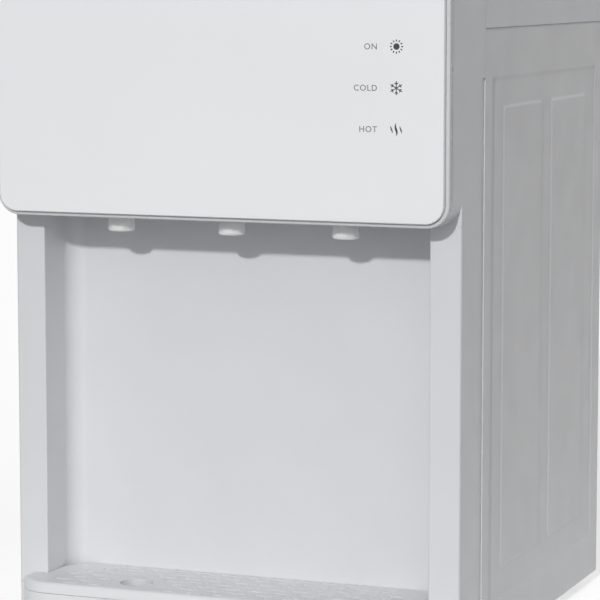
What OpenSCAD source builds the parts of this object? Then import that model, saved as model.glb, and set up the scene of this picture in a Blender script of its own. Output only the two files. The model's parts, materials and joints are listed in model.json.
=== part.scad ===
// Countertop water dispenser with a bottle on top: three push-button taps for hot, room and
// cold water over an alcove with a drip tray, a compressor cooling circuit and a hot tank.
// Front faces -Y, +X is to the right seen from the front, and the feet stand on Z = 0.

/* [Case] */
// Width of the case
case_w = 310; // [300:1:330]
// Depth of the case, from the column faces to the back panel
case_d = 330; // [322:1:350]
// Height of the case, from its lower edge to its top face
case_h = 492; // [484:1:510]
// Height of the rubber feet under the case
foot_h = 8; // [5:1:15]
// Wall of the moulded covers
wall_t = 2.5; // [2:0.1:3]
// Thickness of the steel panels
sheet_t = 0.8; // [0.6:0.1:1.2]
// Height of the top cover
top_h = 87; // [82:1:94]
// Open joint between the side panels and the top cover
side_joint = 1.2; // [0.8:0.1:2]
// Fine joint between covers that meet edge to edge
fine_joint = 0.4; // [0.3:0.1:0.6]
// Rounding of the top edges of the covers
edge_r = 8; // [6:0.5:12]

/* [Front cover] */
// Depth of the front cover's sides
cover_d = 46.5; // [45:0.5:52]
// Width of each column beside the alcove
column_w = 20.9; // [19:0.1:24]
// Rounding of the columns' vertical edges
column_r = 2; // [1:0.5:3]
// Depth of the alcove
alcove_d = 40; // [38:0.5:42]
// Rounding between the alcove's sides and its back
alcove_r = 12; // [8:1:16]
// Height of the head's underside
head_h = 284.4; // [278:0.1:290]
// Reach of the head moulding ahead of the columns
head_reach = 20; // [18:0.5:24]
// Rounding of the head's lower corners
head_r = 15; // [10:0.5:18]
// Drop of the button deck's front edge below the top face
deck_drop = 33; // [28:0.5:38]
// Height up to which the side panels stand proud of the front cover
reveal_h = 375; // [300:5:390]
// Depth of that reveal
reveal_t = 0.8; // [0.5:0.1:1.2]
// Width of that reveal
reveal_w = 1.6; // [1:0.1:2.5]

/* [Front plate] */
// Thickness of the bezel round the front plate
bezel_t = 4.8; // [4:0.1:6]
// Width of the bezel's flat ring
bezel_w = 9; // [7:0.5:14]
// Margin from the head's outline to the plate's edge
plate_margin = 2.8; // [2.4:0.1:5]
// Distance that the plate stands proud of the bezel
plate_proud = 3.6; // [2:0.1:4.5]
// Thickness of the plate
plate_t = 5.4; // [5:0.1:7]
// Slit between the plate and the bezel's lip
plate_slit = 0.6; // [0.4:0.1:1]
// Bevel along the plate's front edge
plate_bevel = 0.8; // [0.4:0.1:1.2]
// Distance of the indicators from the case's side
indicator_in = 33.6; // [25:0.1:50]
// Drop of the middle indicator below the middle of the bezel
indicator_drop = 0.1; // [-14:0.1:20]
// Spacing of the indicators
indicator_pitch = 25.45; // [20:0.05:30]
// Diameter of the light guides behind the indicators
guide_d = 4; // [3:0.1:5]

/* [Taps] */
// Spacing of the three taps
tap_pitch = 78; // [74:0.5:82]
// Diameter of a nozzle at its mouth
nozzle_d = 17.3; // [15:0.1:19]
// Length of nozzle seen below the head
nozzle_drop = 10.4; // [6:0.1:16]
// Diameter of the water way
water_d = 10; // [8:0.5:10]
// Diameter of the valve bodies
valve_d = 26; // [24:0.5:28]
// Diameter of a push rod
rod_d = 6; // [5:0.1:6.5]
// Diametral play of a push rod in its tap
rod_play = 0.16; // [0.1:0.02:0.18]
// Gap that keeps moving pieces apart at rest
rest_gap = 0.3; // [0.25:0.05:0.35]
// Wire of the return springs
spring_wire = 1.3; // [1:0.1:1.4]

/* [Buttons] */
// Width of a button
key_w = 62; // [56:1:64]
// Length of a button along the deck
key_l = 52; // [48:1:54]
// Distance from the deck's front edge to the buttons
key_s = 12; // [10:0.5:13]
// Corner rounding of a button
key_r = 6; // [3:0.5:9]
// Height of a button above the deck
key_proud = 1.5; // [1:0.1:2]
// Gap round a button
key_gap = 0.8; // [0.75:0.05:1]
// Diameter of a button's hinge pins
key_pin_d = 4; // [3.6:0.1:4.4]
// Travel of the child lock
lock_travel = 5; // [4:0.5:5.5]

/* [Drip tray] */
// Height of the tray's top face
tray_h = 42; // [40:0.5:46]
// Height of the joint between tray and grille
tray_joint_h = 34.6; // [32:0.1:36]
// Step from the case's side to the tray's end
tray_inset = 7; // [6.5:0.5:10]
// Reach of the tray ahead of the columns
tray_reach = 28; // [26:0.1:28.2]
// Depth of the notch in the columns that takes the tray's ends
notch_d = 14; // [10:0.5:20]
// Rounding of the tray's front corners
tray_front_r = 26; // [20:1:27]
// Rounding of the tray's back corners
tray_back_r = 24; // [20:1:28]
// Rounding of the top edge at the tray's ends
tray_end_r = 6; // [4:0.5:7]
// Wall of the tray
tray_t = 2.2; // [1.8:0.1:3]
// Gap round the tray
tray_gap = 0.5; // [0.4:0.1:0.8]
// Diameter of the finger hole
finger_d = 22; // [18:0.5:24]
// Distance of the finger hole to the left of the middle
finger_x = 66; // [50:0.5:80]
// Distance of the finger hole ahead of the columns
finger_reach = 6.4; // [5:0.1:10]
// Length of a drain slot in the grille
slot_l = 11; // [8:0.5:12]
// Width of a drain slot
slot_w = 3; // [2.5:0.1:3.5]
// Spacing of the slots along a row
slot_pitch = 18; // [16:0.5:22]
// Spacing of the slot rows
row_pitch = 9.5; // [7:0.5:12]

/* [Bottle seat] */
// Diameter of the seat's rim
seat_d = 256; // [250:1:260]
// Height of the seat's rim above the top cover
seat_rise = 12; // [8:0.5:18]
// Diameter of the well that takes the bottle's neck
well_d = 66; // [62:0.5:70]
// Depth of the well's floor below the top face of the case
well_drop = 66; // [60:1:68]
// Wall of the seat
seat_t = 2.6; // [2.2:0.1:3]
// Diameter of the feed probe
probe_d = 23; // [20:0.5:25]
// Length of the feed probe above the well's floor
probe_l = 68; // [60:1:74]

/* [Tanks] */
// Diameter of the cold tank
cold_d = 140; // [130:1:144]
// Drop of the cold tank's lid below the top face
cold_drop = 102; // [100:1:113]
// Height of the cold tank's floor in the case
cold_z = 214; // [212:1:216]
// Wall of the steel tanks
tank_t = 1; // [0.8:0.1:1.2]
// Thickness of the foam round the cold tank
foam_t = 22; // [18:0.5:24]
// Diameter of the hot tank
hot_d = 92; // [84:1:94]
// Height of the hot tank
hot_h = 96; // [85:1:100]
// Height of the hot tank's floor in the case
hot_z = 46; // [44:1:50]

/* [Cooling] */
// Diameter of the compressor's shell
comp_d = 118; // [110:1:120]
// Height of the compressor's shell
comp_h = 146; // [135:1:150]
// Diameter of the refrigerant pipes
pipe_d = 5; // [4.5:0.1:6]
// Diameter of the condenser's tube
cond_d = 4.8; // [4.5:0.1:5.2]
// Spacing of the runs
cond_pitch = 25; // [22:0.5:25]
// Reach of the condenser behind the back panel
cond_reach = 21.6; // [20:0.1:26]
// Diameter of the condenser's wires
fin_wire = 1.4; // [1.2:0.1:1.6]
// Number of wires on each side
fin_count = 25; // [21:2:27]
// Spacing of the wires
fin_pitch = 8.5; // [8:0.1:8.8]

/* [Hidden] */
$fn = 64;
over = 1;                 // overshoot of cutters
skin = 0.02;              // overlap of the pressed shapes
fit = 0.1;                // radial clearance of a bore round what it holds
play = 0.2;               // radial clearance of a hole that a piece passes through
slim = 0.05;              // keeps a slot's straight sides from vanishing
stub_l = 2;               // straight ends of the hoses and pipes

white = "white";
snow = "whitesmoke";
pale = "gainsboro";
steel = "silver";
rubber = "dimgray";

// Depths along Y, from the front plate's face to the condenser
y_plate = -(plate_proud + bezel_t + head_reach + case_d + cond_reach) / 2;
y_bezel = y_plate + plate_proud;
y_head = y_bezel + bezel_t;
y_col = y_head + head_reach;
y_cover = y_col + cover_d;
y_body = y_cover + fine_joint;
y_back = y_col + case_d;
y_flange = y_back - 2 * sheet_t;

// Widths along X
x_side = case_w / 2;
x_alcove = x_side - column_w;
tray_w = case_w - 2 * tray_inset;
x_notch = tray_w / 2 + tray_gap;
indicator_x = x_side - indicator_in;

// Heights along Z
z_case = foot_h;
z_top = z_case + case_h;
z_head = z_case + head_h;
z_deck = z_top - deck_drop;
z_side = z_top - top_h;           // top edge of the steel side panels
z_lower = z_side + side_joint;
z_tray = z_case + tray_h;
z_floor = z_case + wall_t;
z_joint = z_case + tray_joint_h;
z_cover = z_joint + fine_joint;   // lower edge of the front cover, over the front base

tap_x = [-tap_pitch, 0, tap_pitch];

// ---------------------------------------------------------------- general shapes

// Box between two corners
module box(a, b) {
    translate(a) cube(b - a);
}

// Flat rectangle from corner a to corner b with round corners
module round_rect(a, b, r) {
    translate([a.x + r, a.y]) square([b.x - a.x - 2 * r, b.y - a.y]);
    translate([a.x, a.y + r]) square([b.x - a.x, b.y - a.y - 2 * r]);
    for (x = [a.x + r, b.x - r], y = [a.y + r, b.y - r]) translate([x, y]) circle(r);
}

// Drawing of (y, z) points extruded along X
module along_x(x0, x1) {
    translate([x0, 0, 0]) rotate([90, 0, 90]) linear_extrude(x1 - x0) children();
}

// Drawing of (x, z) points extruded along Y
module along_y(y0, y1) {
    translate([0, y1, 0]) rotate([90, 0, 0]) linear_extrude(y1 - y0) children();
}

// Round bar along Y
module bar_y(x, z, y0, y1, r) {
    translate([x, y0, z]) rotate([-90, 0, 0]) cylinder(r = r, h = y1 - y0);
}

// Round bar along X
module bar_x(y, z, x0, x1, r, fn = $fn) {
    translate([x0, y, z]) rotate([0, 90, 0]) cylinder(r = r, h = x1 - x0, $fn = fn);
}

// Upright round bar
module bar_z(x, y, z0, z1, r) {
    translate([x, y, z0]) cylinder(r = r, h = z1 - z0);
}

// Cutter that rounds an upright edge at the origin, with the body towards -X and +Y
module edge_cutter(r, h) {
    linear_extrude(h) difference() {
        translate([-r, -over]) square([r + over, r + over]);
        translate([-r, r]) circle(r);
    }
}

// The right half of what is drawn, and its mirror image
module both_sides() {
    children();
    mirror([1, 0, 0]) children();
}

// Half of a rounded rectangle, from the axis out, for revolving
module revolved_can(r, z0, z1, corner) {
    intersection() {
        round_rect([-r, z0], [r, z1], corner);
        translate([0, z0]) square([r, z1 - z0]);
    }
}

function unit(v) = v / norm(v);

// Points of a cubic curve that leaves p0 along d0 and reaches p1 from p1 + d1
function curve(p0, d0, p1, d1, n) = [for (i = [0:n]) let (t = i / n, s = 1 - t)
    s * s * s * p0 + 3 * s * s * t * (p0 + d0) + 3 * s * t * t * (p1 + d1) + t * t * t * p1];

// The same curve with a straight stub at each end, so that its ends meet what they join squarely
function route(p0, d0, p1, d1, n) =
    concat([p0], curve(p0 + stub_l * unit(d0), d0, p1 + stub_l * unit(d1), d1, n), [p1]);

// Closed round tube swept along points; no stretch of it may run along ref
module swept(p, r, sides = 8, ref = [1, 0, 0]) {
    n = len(p);
    dir = [for (i = [0:n - 1]) unit(p[min(i + 1, n - 1)] - p[max(i - 1, 0)])];
    pts = [for (i = [0:n - 1]) let (u = unit(cross(dir[i], ref)), v = cross(dir[i], u))
        for (k = [0:sides - 1]) p[i] + r * (cos(360 * k / sides) * u + sin(360 * k / sides) * v)];
    walls = [for (i = [0:n - 2], k = [0:sides - 1]) let (
        a = i * sides + k, b = i * sides + (k + 1) % sides, c = a + sides, d = b + sides)
        each [[a, c, d], [a, d, b]]];
    caps = [[for (k = [0:sides - 1]) k], [for (k = [sides - 1:-1:0]) (n - 1) * sides + k]];
    polyhedron(pts, concat(walls, caps));
}

// ---------------------------------------------------------------- front cover

deck_a = atan2(z_top - z_deck, y_cover - y_head);
key_end = key_s + key_l;
key_hinge_s = key_end - 6;        // hinge line of a button along the deck
key_hinge_n = -6;                 // and below the deck's face
key_skirt = 9;                    // depth of a button's skirt
ear_t = 3;                        // ears that hold the hinge pins
ear_r = 5;
bearing_play = 0.05;
boss_r = 4.6;                     // bosses that take the case screws
boss_x = x_side - wall_t - boss_r + 0.2;
boss_z = [60, 200, 340];
base_boss_z = 22;
tongue_w = 5;                     // tongues that reach from the front cover into the front base
tongue_t = 2;
tongue_l = 8;
boss_l = 16;
screw_r = 1.5;
screw_l = 11;
screw_head_r = 3.6;
screw_head_h = 2.4;
pilot_r = screw_r - fit;          // bores that the screws cut their thread in
small_screw_r = 0.75;             // bores for the indicator board's screws
post_r = 5;                       // posts that carry the tap bracket
post_y = y_col + 19;
bracket_t = 2;
bracket_r = 4;                    // corners of the bracket
bracket_lip = 9;
valve_h = 42;                     // height of a valve body over the head's floor
z_valve = z_head + wall_t + 3;
z_bracket = z_valve + valve_h;
peg_r = 2;                        // pegs of the bezel
peg_x = x_side - plate_margin - bezel_w / 2;
z_bezel_top = z_deck - 1.5;
peg_z = [z_head + 40, z_bezel_top - 40];
nozzle_top_r = nozzle_d / 2 - 0.3;
rib_z = [100, 180, 260];
rib_t = 2;
rib_d = 30;
board_y = y_head + wall_t + 5;    // front face of the indicator board
board_t = 1.6;
board_w = 18;
board_post_r = 3;
led_d = 3;
guide_play = 0.1;
indicator_z = [for (i = [-1:1])
    (z_head + z_bezel_top) / 2 - indicator_drop + i * indicator_pitch];
board_post_z = [indicator_z[0] - 14, indicator_z[2] + 14];
board_end = 5;                    // length of the board beyond its screws

// Frame on the sloping deck: X across, Y up the slope from its front edge, Z out of its face
module on_deck() {
    translate([0, y_head, z_deck]) rotate([deck_a, 0, 0]) children();
}

// Everything above the deck, sunk by depth
module above_deck(depth) {
    on_deck() translate([-case_w, -case_d, -depth]) cube([2 * case_w, 2 * case_d, case_h]);
}

// Cutter that rounds the deck's two side edges
module deck_edges(inset) {
    r = edge_r - inset;
    x = x_side - inset;
    both_sides() on_deck() along_y(-2 * edge_r, case_d) difference() {
        translate([x - r, -inset - r]) square([r + over, r + over]);
        translate([x - r, -inset - r]) circle(r);
    }
}

// Outline of the head seen from the front, inset from its face
module head_outline(inset) {
    round_rect([-x_side + inset, z_head + inset], [x_side - inset, z_top + 2 * head_r],
        head_r - inset);
}

module head_block(inset, y0, y1) {
    difference() {
        along_y(y0, y1) head_outline(inset);
        above_deck(inset);
        deck_edges(inset);
    }
}

// Plan of the alcove, grown by the wall
module alcove_plan(grow) {
    round_rect([-x_alcove - grow, y_col - case_d], [x_alcove + grow, y_col + alcove_d + grow],
        alcove_r + grow);
}

// Plan of the hollow behind the columns' faces
module column_hollow() {
    difference() {
        translate([-x_side + wall_t, y_col + wall_t]) square([case_w - 2 * wall_t, cover_d]);
        alcove_plan(wall_t);
    }
}

// Cutter for the columns' rounded edges and for the reveal beside the side panels
module column_edges() {
    both_sides() {
        translate([x_side, y_col, z_case - over]) edge_cutter(column_r, head_h + over);
        translate([x_alcove, y_col, z_case - over]) mirror([1, 0, 0])
            edge_cutter(column_r / 2, head_h + over);
        box([x_side - reveal_t, y_cover - reveal_w, z_case - over],
            [x_side + over, y_cover + over, z_case + reveal_h]);
    }
}

// Boss for a case screw at height z, and its bore
module boss(z) {
    bar_y(boss_x, z_case + z, y_cover - boss_l, y_cover, boss_r);
}

module boss_bore(z) {
    bar_y(boss_x, z_case + z, y_cover - boss_l + over, y_cover + over, pilot_r);
}

// Notches at the foot of the columns for the basin's ends
module tray_notch(grow, y0) {
    box([-x_notch - grow, y0, z_floor - grow], [x_notch + grow, y_col + notch_d + grow, z_cover]);
}

module column_ribs() {
    for (z = rib_z) box([x_alcove + over, y_col + over, z_case + z],
        [x_side - over, y_col + rib_d, z_case + z + rib_t]);
    for (z = boss_z) boss(z);
    x0 = x_alcove + wall_t + rest_gap;
    y1 = y_cover - wall_t;
    box([x0, y1 - tongue_t, z_joint - tongue_l], [x0 + tongue_w, y1, z_cover + over]);
}

module button_ears() {
    on_deck() for (x = tap_x, s = [-1, 1]) {
        x0 = x + s * (key_w / 2 + key_gap) + (s < 0 ? -ear_t : 0);
        difference() {
            union() {
                box([x0, key_hinge_s - ear_r, key_hinge_n], [x0 + ear_t, key_hinge_s + ear_r, -over]);
                bar_x(key_hinge_s, key_hinge_n, x0, x0 + ear_t, ear_r);
            }
            bar_x(key_hinge_s, key_hinge_n, x0 - over, x0 + ear_t + over,
                key_pin_d / 2 + bearing_play);
        }
    }
}

module front_cover() {
    color(white) difference() {
        union() {
            difference() {
                union() {
                    box([-x_side, y_col, z_cover], [x_side, y_cover, z_head + head_r]);
                    head_block(0, y_head, y_cover);
                }
                translate([0, 0, z_cover + wall_t])
                    linear_extrude(z_head + head_r - z_cover - wall_t) column_hollow();
                head_block(wall_t, y_head + wall_t, y_cover + over);
                translate([0, 0, z_floor]) linear_extrude(z_head - z_floor) alcove_plan(0);
                column_edges();
            }
            both_sides() column_ribs();
            for (s = [-1, 1]) translate([s * tap_pitch / 2, post_y, z_head + over])
                cylinder(r = post_r, h = z_bracket - z_head - over);
            for (z = board_post_z) bar_y(indicator_x, z, y_head + over, board_y, board_post_r);
            button_ears();
        }
        both_sides() for (z = boss_z) boss_bore(z);
        for (s = [-1, 1]) translate([s * tap_pitch / 2, post_y, z_bracket - screw_l])
            cylinder(r = pilot_r, h = screw_l + over);
        for (x = tap_x) translate([x, y_col, z_head - over])
            cylinder(r = nozzle_top_r + 0.5, h = wall_t + 2 * over);
        for (z = indicator_z) bar_y(indicator_x, z, y_head - over, y_head + wall_t + over,
            guide_d / 2 + guide_play);
        both_sides() for (z = peg_z) bar_y(peg_x, z, y_head - over, y_head + wall_t + over,
            peg_r + guide_play);
        on_deck() for (x = tap_x) translate([x, 0, -wall_t - over])
            linear_extrude(wall_t + 2 * over) round_rect([-key_w / 2 - key_gap, key_s - key_gap],
                [key_w / 2 + key_gap, key_end + key_gap], key_r + key_gap);
        for (z = board_post_z) bar_y(indicator_x, z, y_head + wall_t, board_y + over, small_screw_r);
    }
}

// Foot of the front moulding: floor of the tray's place, with the two cheeks beside the tray
module front_base() {
    color(white) difference() {
        union() {
            difference() {
                box([-x_side, y_col, z_case], [x_side, y_cover, z_joint]);
                difference() {
                    translate([0, 0, z_floor]) linear_extrude(z_joint) column_hollow();
                    tray_notch(wall_t, y_col);
                }
                translate([0, 0, z_floor]) linear_extrude(z_joint) alcove_plan(0);
                column_edges();
            }
            both_sides() boss(base_boss_z);
        }
        tray_notch(0, y_col - over);
        both_sides() boss_bore(base_boss_z);
        for (x = [-foot_x, foot_x])
            bar_z(x, foot_front_y, z_case - over, z_floor + over, foot_screw_r + fit);
    }
}

// ---------------------------------------------------------------- front plate and indicators

// Slab with a bevel along its front edge; its outline shrinks by bevel at y0
module bevelled_slab(a, b, r, bevel, y0, y1) {
    hull($fn = 32) {
        along_y(y0, y0 + bevel) round_rect(a + [bevel, bevel], b - [bevel, bevel], r - bevel);
        along_y(y0 + bevel, y1) round_rect(a, b, r);
    }
}

plate_a = [-x_side + plate_margin, z_head + plate_margin];
plate_b = [x_side - plate_margin, z_bezel_top - plate_margin];
plate_r = head_r - plate_margin;

module front_bezel() {
    color(pale) difference() {
        union() {
            bevelled_slab([-x_side, z_head], [x_side, z_bezel_top], head_r, plate_bevel,
                y_bezel, y_head);
            both_sides() for (z = peg_z) bar_y(peg_x, z, y_head - over, y_head + wall_t + 2, peg_r);
        }
        along_y(y_bezel - over, y_plate + plate_t) round_rect(plate_a - [plate_slit, plate_slit],
            plate_b + [plate_slit, plate_slit], plate_r + plate_slit);
        along_y(y_bezel - over, y_head + over) round_rect(plate_a + [bezel_w, bezel_w],
            plate_b - [bezel_w, bezel_w], plate_r / 2);
    }
}

module front_plate() {
    color("aliceblue")
        bevelled_slab(plate_a, plate_b, plate_r, plate_bevel, y_plate, y_plate + plate_t);
}

module light_guides() {
    color("white") for (z = indicator_z)
        bar_y(indicator_x, z, y_plate + plate_t, board_y - led_d, guide_d / 2);
}

module indicator_board() {
    color("seagreen") difference() {
        box([indicator_x - board_w / 2, board_y, board_post_z[0] - board_end],
            [indicator_x + board_w / 2, board_y + board_t, board_post_z[1] + board_end]);
        for (z = board_post_z) bar_y(indicator_x, z, board_y - over, board_y + board_t + over, screw_r);
    }
    color("khaki") for (z = indicator_z) bar_y(indicator_x, z, board_y - led_d, board_y, led_d / 2);
}

// ---------------------------------------------------------------- steel case

emboss = 1;                       // depth of the pressed field
emboss_slope = 2;                 // width of its sloping edge
field_a = [y_col + 65, z_case + 28];
field_b = [y_back - 18, z_side - 30];
panel_gap = 22;                   // field left between the two raised panels
panel_split = 0.51;               // share of the field's width in front of that gap
panel_low = 21;                   // margins of the raised panels inside the field
panel_high = 19;
panel_fore = 26;
panel_aft = 24;
flange_w = 11;
panel_bend_r = 1.4;
inner_x = x_side - sheet_t - emboss - rest_gap;

// Block whose outline narrows by the slope from x = x0 to x = x1
module pressed(a, b, r, x0, x1) {
    d = x1 > x0 ? skin : -skin;
    s = [emboss_slope, emboss_slope];
    hull($fn = 32) {
        along_x(min(x0, x0 + d), max(x0, x0 + d)) round_rect(a, b, r);
        along_x(min(x1, x1 - d), max(x1, x1 - d)) round_rect(a + s, b - s, r - emboss_slope / 2);
    }
}

// Corners of the raised panels inside the field
panel_y = field_a.x + panel_fore;
panel_end = field_b.x - panel_aft;
panel_mid = panel_y + (panel_end - panel_y - panel_gap) * panel_split;
raised = [
    [[panel_y, field_a.y + panel_low], [panel_mid, field_b.y - panel_high]],
    [[panel_mid + panel_gap, field_a.y + panel_low], [panel_end, field_b.y - panel_high]]
];

module side_panel() {
    corner = 6;
    hole_r = screw_r + play;
    difference() {
        union() {
            difference() {
                union() {
                    box([x_side - sheet_t, y_body, z_case], [x_side, y_back, z_side]);
                    pressed(field_a, field_b, corner, x_side - sheet_t, x_side - sheet_t - emboss);
                }
                pressed(field_a, field_b, corner, x_side + skin, x_side - emboss);
            }
            for (p = raised) pressed(p[0], p[1], corner, x_side - emboss - sheet_t, x_side);
            box([x_side - flange_w, y_body, z_case], [x_side, y_body + sheet_t, z_side]);
            box([x_side - panel_bend_r, y_body, z_case], [x_side, y_body + panel_bend_r, z_side]);
            box([x_side - flange_w, y_flange, z_case], [x_side, y_flange + sheet_t, z_side]);
            box([x_side - flange_w, y_body, z_case], [x_side, y_flange, z_case + sheet_t]);
        }
        for (p = raised) pressed(p[0] + [sheet_t, sheet_t], p[1] - [sheet_t, sheet_t], corner,
            x_side - emboss - sheet_t - skin, x_side - sheet_t);
        translate([x_side, y_body, z_case - over]) edge_cutter(panel_bend_r, z_side - z_case + 2 * over);
        for (z = concat(base_boss_z, boss_z))
            bar_y(boss_x, z_case + z, y_body - over, y_body + sheet_t + over, hole_r);
        for (z = back_screw_z) bar_y(back_screw_x, z, y_flange - over, y_back, hole_r);
    }
}

module right_panel() {
    color(snow) side_panel();
}

module left_panel() {
    color(snow) mirror([1, 0, 0]) side_panel();
}

back_screw_x = x_side - flange_w / 2 - 0.6;
back_screw_z = [z_case + 30, z_case + 200, z_side - 14];
switch_w = 13;                    // cut-out of a rocker switch
switch_l = 19.4;
switch_x = [x_side - 67, x_side - 39];
switch_z = z_case + 66;
gland_x = x_side - 103;
gland_z = z_case + 60;
gland_r = 8;
gland_bore = 4.1;
gland_in = 6;
gland_out = 9;
drain_z = z_case + 34;
spigot_r = 6;
vent_n = 9;
vent_w = 78;
vent_h = 4;
vent_pitch = 9;
vent_x = -22;
vent_z = z_case + 24;
y_cond = y_back + cond_reach - fin_wire - slim - cond_d / 2;
cond_x = fin_pitch * (fin_count - 1) / 2 + 3;
cond_top = z_side - 28;
cond_min = z_case + 125;          // the lowest run lies no lower than this
cond_runs = floor((cond_top - cond_min) / cond_pitch) + 1;
cond_low = cond_top - (cond_runs - 1) * cond_pitch;
lead_r = 9;
lead_x = cond_x + lead_r;
lead_y = y_back - 7;

module back_panel() {
    x = x_side - sheet_t - play;
    color(snow) difference() {
        box([-x, y_flange + sheet_t, z_case], [x, y_back, z_side]);
        along_y(y_flange, y_back + over) {
            for (i = [0:vent_n - 1]) translate([vent_x, vent_z + i * vent_pitch])
                round_rect([-vent_w / 2, -vent_h / 2], [vent_w / 2, vent_h / 2], vent_h / 2 - slim);
            for (x = switch_x) translate([x, switch_z])
                square([switch_w + rest_gap, switch_l + rest_gap], center = true);
            translate([gland_x, gland_z]) circle(gland_r + fit);
            translate([hot_x, drain_z]) circle(spigot_r + play);
            for (p = cond_ends) translate(p) circle(cond_d / 2 + 1);
            for (s = [-1, 1], z = back_screw_z) translate([s * back_screw_x, z]) circle(screw_r + play);
        }
    }
}

open_r = seat_d / 2 - 8;          // opening in the top cover
y_seat = (y_body + y_back) / 2;
collar_h = 12;
lip_t = 2.2;
lip_h = 7;

module top_block(inset, y0) {
    intersection() {
        along_y(y0, y_back - inset) round_rect([-x_side + inset, z_lower - case_h / 2],
            [x_side - inset, z_top - inset], edge_r - inset);
        along_x(-x_side, x_side) round_rect([y_body - case_d, z_lower - case_h / 2],
            [y_back - inset, z_top - inset], edge_r - inset);
        box([-x_side, y0, z_lower - (inset > 0 ? over : 0)], [x_side, y_back, z_top]);
    }
}

module top_cover() {
    lip_x = x_side - sheet_t - rest_gap;
    lip_y = y_flange - rest_gap;
    lip_y0 = y_body + panel_bend_r + rest_gap;
    lip_z = z_side - lip_h;
    collar_z0 = z_top - wall_t - collar_h;
    color(white) difference() {
        union() {
            difference() {
                top_block(0, y_body);
                top_block(wall_t, y_body - over);
            }
            difference() {
                box([-lip_x, lip_y0, lip_z], [lip_x, lip_y, z_lower + 2 * lip_t]);
                box([-lip_x + lip_t, y_body, lip_z - over],
                    [lip_x - lip_t, lip_y - lip_t, z_lower + 2 * lip_t + over]);
            }
            bar_z(0, y_seat, collar_z0, z_top, open_r + wall_t);
        }
        bar_z(0, y_seat, collar_z0 - over, z_top + over, open_r);
    }
}

pan_t = 1.2;
pan_y0 = y_body + sheet_t + rest_gap;
pan_y1 = y_flange - rest_gap;
z_pan = z_case + sheet_t + pan_t; // top face of the base pan
pan_rim = 9;
foot_x = x_side - 33;
foot_front_y = y_col + 24;
foot_back_y = y_back - 34;
foot_r = 13;
foot_screw_r = 2;
foot_head_r = 3.8;
foot_head_h = 2.2;
foot_sink = 1.3;                  // depth of the screw heads in the feet
foot_taper = 1.8;
foot_chamfer = 0.8;
comp_x = x_side - 89;
comp_y = y_back - 100;
comp_foot = [56, 44];             // grommets from the compressor's axis
comp_lift = 12;
comp_bolt_r = 3;
pan_slots = 6;                    // vent slots in the base pan
pan_slot = [5, 40];
pan_slot_pitch = 16;
pan_slot_y = y_col + 100;

// Copies what is drawn to each of the compressor's feet
module at_comp_feet() {
    for (x = [-1, 1], y = [-1, 1])
        translate([comp_x + x * comp_foot.x, comp_y + y * comp_foot.y, 0]) children();
}

module base_pan() {
    z0 = z_case + sheet_t;
    color(steel) difference() {
        union() {
            box([-inner_x, pan_y0, z0], [inner_x, pan_y1, z_pan]);
            difference() {
                box([-inner_x, pan_y0, z0], [inner_x, pan_y1, z_pan + pan_rim]);
                box([-inner_x + pan_t, pan_y0 + pan_t, z_pan - over],
                    [inner_x - pan_t, pan_y1 - pan_t, z_pan + pan_rim + over]);
            }
        }
        for (x = [-foot_x, foot_x]) bar_z(x, foot_back_y, z_case, z_pan + over, foot_screw_r + fit);
        for (i = [0:pan_slots - 1]) translate([comp_x + (i - (pan_slots - 1) / 2) * pan_slot_pitch,
            pan_slot_y, z_case]) linear_extrude(2 * pan_t + over)
                round_rect([-pan_slot.x / 2, -pan_slot.y / 2], pan_slot / 2, pan_slot.x / 2 - 2 * slim);
        at_comp_feet() bar_z(0, 0, z_case, z_pan + over, comp_bolt_r + fit);
    }
}

module foot(h) {
    difference() {
        rotate_extrude() polygon([[0, 0], [foot_r - foot_taper - foot_chamfer, 0],
            [foot_r - foot_taper, foot_chamfer], [foot_r, h - foot_chamfer], [foot_r, h], [0, h]]);
        bar_z(0, 0, -over, foot_sink + foot_head_h, foot_head_r + 3 * play);
        bar_z(0, 0, -over, h + over, foot_screw_r + fit);
    }
}

module feet() {
    color(rubber) for (x = [-foot_x, foot_x]) {
        translate([x, foot_front_y, 0]) foot(z_case);
        translate([x, foot_back_y, 0]) foot(z_case + sheet_t);
    }
}

module foot_screw(x, y, z1) {
    bar_z(x, y, foot_sink, foot_sink + foot_head_h, foot_head_r);
    bar_z(x, y, foot_sink, z1, foot_screw_r);
}

module foot_screws() {
    color(steel) for (x = [-foot_x, foot_x]) {
        foot_screw(x, foot_front_y, z_floor);
        foot_screw(x, foot_back_y, z_pan + 2);
    }
}

// Pan-head screw at the origin, shank towards -Z
module pan_screw() {
    translate([0, 0, -screw_l]) cylinder(r = pilot_r - slim, h = screw_l);
    half = screw_head_h / 2;
    rotate_extrude() polygon([[0, 0], [screw_head_r, 0], [screw_head_r, half],
        [screw_head_r - half, screw_head_h], [0, screw_head_h]]);
}

module case_screws() {
    color(steel) {
        both_sides() for (z = concat(base_boss_z, boss_z))
            translate([boss_x, y_body + sheet_t, z_case + z]) rotate([-90, 0, 0]) pan_screw();
        both_sides() for (z = back_screw_z) translate([back_screw_x, y_back, z])
            rotate([-90, 0, 0]) pan_screw();
        for (s = [-1, 1]) translate([s * tap_pitch / 2, post_y, z_bracket + bracket_t]) pan_screw();
        for (z = board_post_z) translate([indicator_x, board_y + board_t, z])
            rotate([-90, 0, 0]) scale(0.5) pan_screw();
    }
}

// ---------------------------------------------------------------- buttons

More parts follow.
